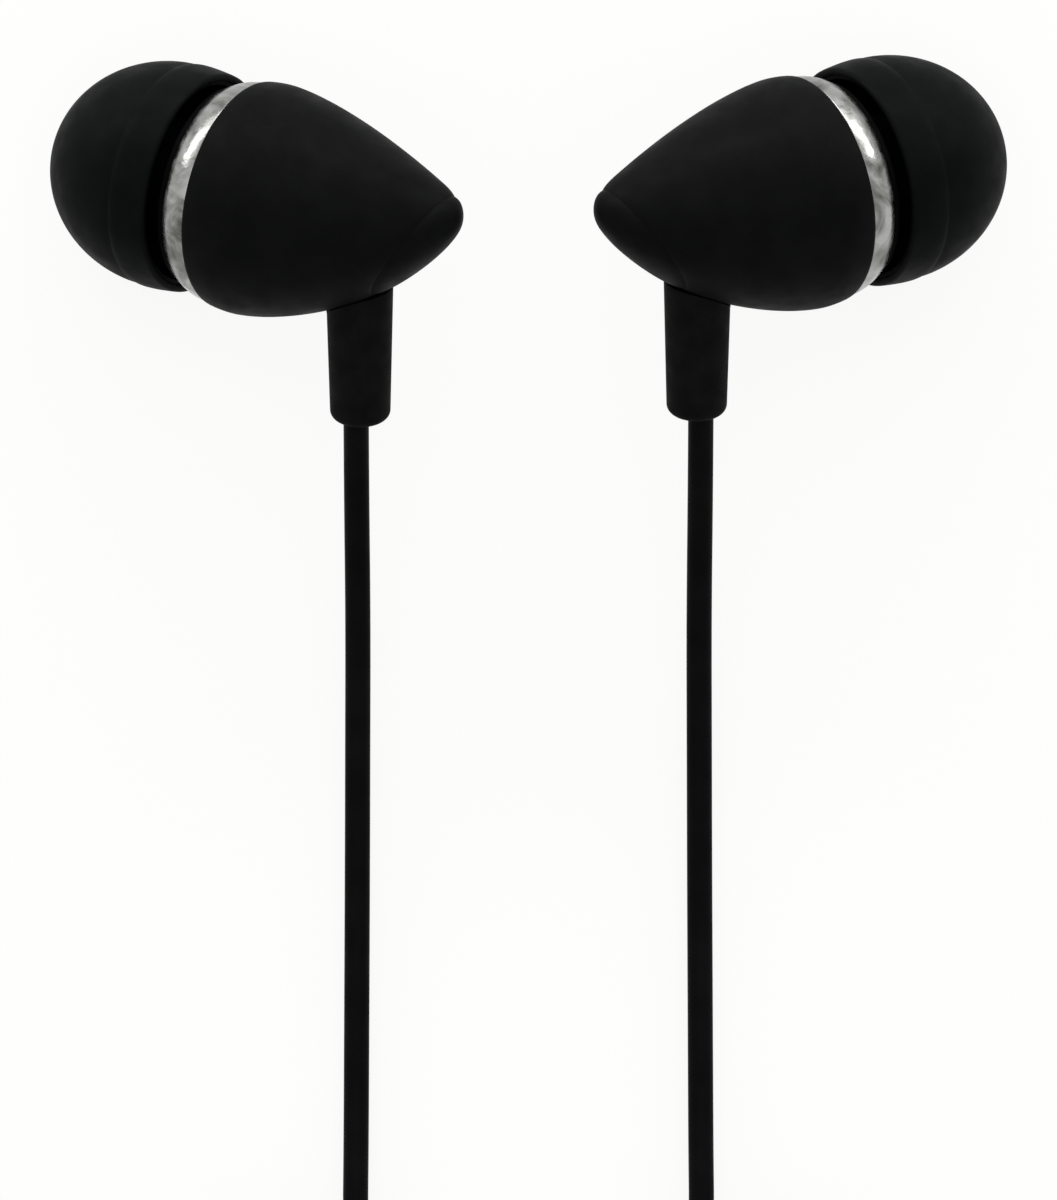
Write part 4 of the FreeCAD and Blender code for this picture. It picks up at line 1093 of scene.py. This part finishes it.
# CAD nodes that stay

KEPT = {
    "front_housing": "front_shell",
    "driver_cover": "driver_steel",
    "driver_plate": "driver_steel",
    "driver_magnet": "magnet",
    "driver_cup": "driver_steel",
    "driver_frame": "driver_plastic",
    "terminal_board": "board",
}


def dress_node(name, finish):
    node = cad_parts[name]
    if not node.material_slots:
        node.data.materials.append(None)
    for place in node.material_slots:
        place.material = FINISHES[finish]


# Floor, world and lamps

def make_floor():
    """A pale surface that is nearly white to the camera and still takes the shadows."""
    mesh = bmesh.new()
    bmesh.ops.create_circle(mesh, cap_ends=True, segments=96, radius=FLOOR_RADIUS)
    data = bpy.data.meshes.new("floor")
    mesh.to_mesh(data)
    mesh.free()
    floor = bpy.data.objects.new("floor", data)
    floor.location = (0, 0, -FLOOR_DROP)
    bpy.context.scene.collection.objects.link(floor)
    material = bpy.data.materials.new("floor")
    material.use_nodes = True
    tree = material.node_tree
    shader = tree.nodes["Principled BSDF"]
    shader.inputs["Base Color"].default_value = (*FLOOR_COLOUR, 1)
    shader.inputs["Roughness"].default_value = 0.9
    shader.inputs["Specular IOR Level"].default_value = 0.1
    output = tree.nodes["Material Output"]
    white = add(tree, "ShaderNodeEmission", Color=(*FLOOR_WHITE, 1), Strength=1.0)
    part = add(tree, "ShaderNodeMath")
    part.operation = "MULTIPLY"
    part.inputs[1].default_value = FLOOR_WHITE_SHARE
    tree.links.new(seen_rays(tree), part.inputs[0])
    mix = tree.nodes.new("ShaderNodeMixShader")
    tree.links.new(part.outputs[0], mix.inputs["Fac"])
    tree.links.new(shader.outputs[0], mix.inputs[1])
    tree.links.new(white.outputs[0], mix.inputs[2])
    tree.links.new(mix.outputs[0], output.inputs["Surface"])
    data.materials.append(material)


def seen_rays(tree):
    """1 for camera, glossy and transmission rays, and 0 for the rest."""
    path = tree.nodes.new("ShaderNodeLightPath")
    total = path.outputs["Is Camera Ray"]
    for name in ("Is Glossy Ray", "Is Transmission Ray"):
        larger = tree.nodes.new("ShaderNodeMath")
        larger.operation = "MAXIMUM"
        tree.links.new(total, larger.inputs[0])
        tree.links.new(path.outputs[name], larger.inputs[1])
        total = larger.outputs[0]
    return total


def make_world():
    """A soft light all round, which is white where it is seen."""
    world = bpy.data.worlds.new("studio")
    bpy.context.scene.world = world
    world.use_nodes = True
    tree = world.node_tree
    tree.nodes.clear()
    output = tree.nodes.new("ShaderNodeOutputWorld")
    light = add(tree, "ShaderNodeBackground", Color=(1, 1, 1, 1), Strength=WORLD_LIGHT)
    white = add(tree, "ShaderNodeBackground", Color=(1, 1, 1, 1), Strength=1.0)
    mix = tree.nodes.new("ShaderNodeMixShader")
    tree.links.new(seen_rays(tree), mix.inputs["Fac"])
    tree.links.new(light.outputs[0], mix.inputs[1])
    tree.links.new(white.outputs[0], mix.inputs[2])
    tree.links.new(mix.outputs[0], output.inputs["Surface"])


def make_lamp(name, place, size, power):
    """A softbox that faces the origin."""
    data = bpy.data.lights.new(name, "AREA")
    data.shape = "RECTANGLE"
    data.size, data.size_y = size
    data.energy = power
    lamp = bpy.data.objects.new(name, data)
    lamp.location = place
    lamp.rotation_euler = (-Vector(place)).to_track_quat("-Z", "Y").to_euler()
    bpy.context.scene.collection.objects.link(lamp)


def make_cords():
    """Each branch cord with its tie and the splitter, and the main cord with its tie and plug."""
    made_splitter = make_splitter()
    for name, side in SIDES:
        tie = make_tie(name + "_coil_band", branch_coil(side), name + "_coil_tie")
        points = branch_points(side)
        diameter = BRANCH_DIAMETER * MILLIMETRE
        cord = make_cord(name + "_branch_cord", points, diameter, FINISHES["cord_jacket"])
        settle(cord, "root",
               [name + "_cord", name + "_cord_coil", name + "_cord_tail"])
    tie = make_tie("main_coil_band", main_coil(), "main_coil_tie")
    points = main_points()
    diameter = MAIN_DIAMETER * MILLIMETRE
    cord = make_cord("main_lead_cord", points, diameter, FINISHES["cord_jacket"])
    settle(cord, "root", ["main_cord", "main_cord_coil", "main_cord_tail"])
    make_plug() + [tie]


def make_buds():
    for name, side in SIDES:
        place = bud_place(side)
        make_ear_tip(name, place, name + "_tip")
        make_grille(name, place)
        make_trim_ring(name, place)
        make_rear_housing(name, place)
        make_tail_cap(name, place)
        make_strain_relief(name, place)
        make_knot(name, place)
        make_gasket(name, place)
        make_felt(name, place)
        make_diaphragm(name, place, name + "_cone")
        make_voice_coil(name, place, name + "_cone")
        make_wires(name, place)
        for node, finish in KEPT.items():
            dress_node(name + "_" + node, finish)


make_camera()
make_cords()
make_buds()
make_floor()
make_world()
for lamp in LAMPS:
    make_lamp(*lamp)
bpy.context.scene.view_settings.view_transform = "Standard"
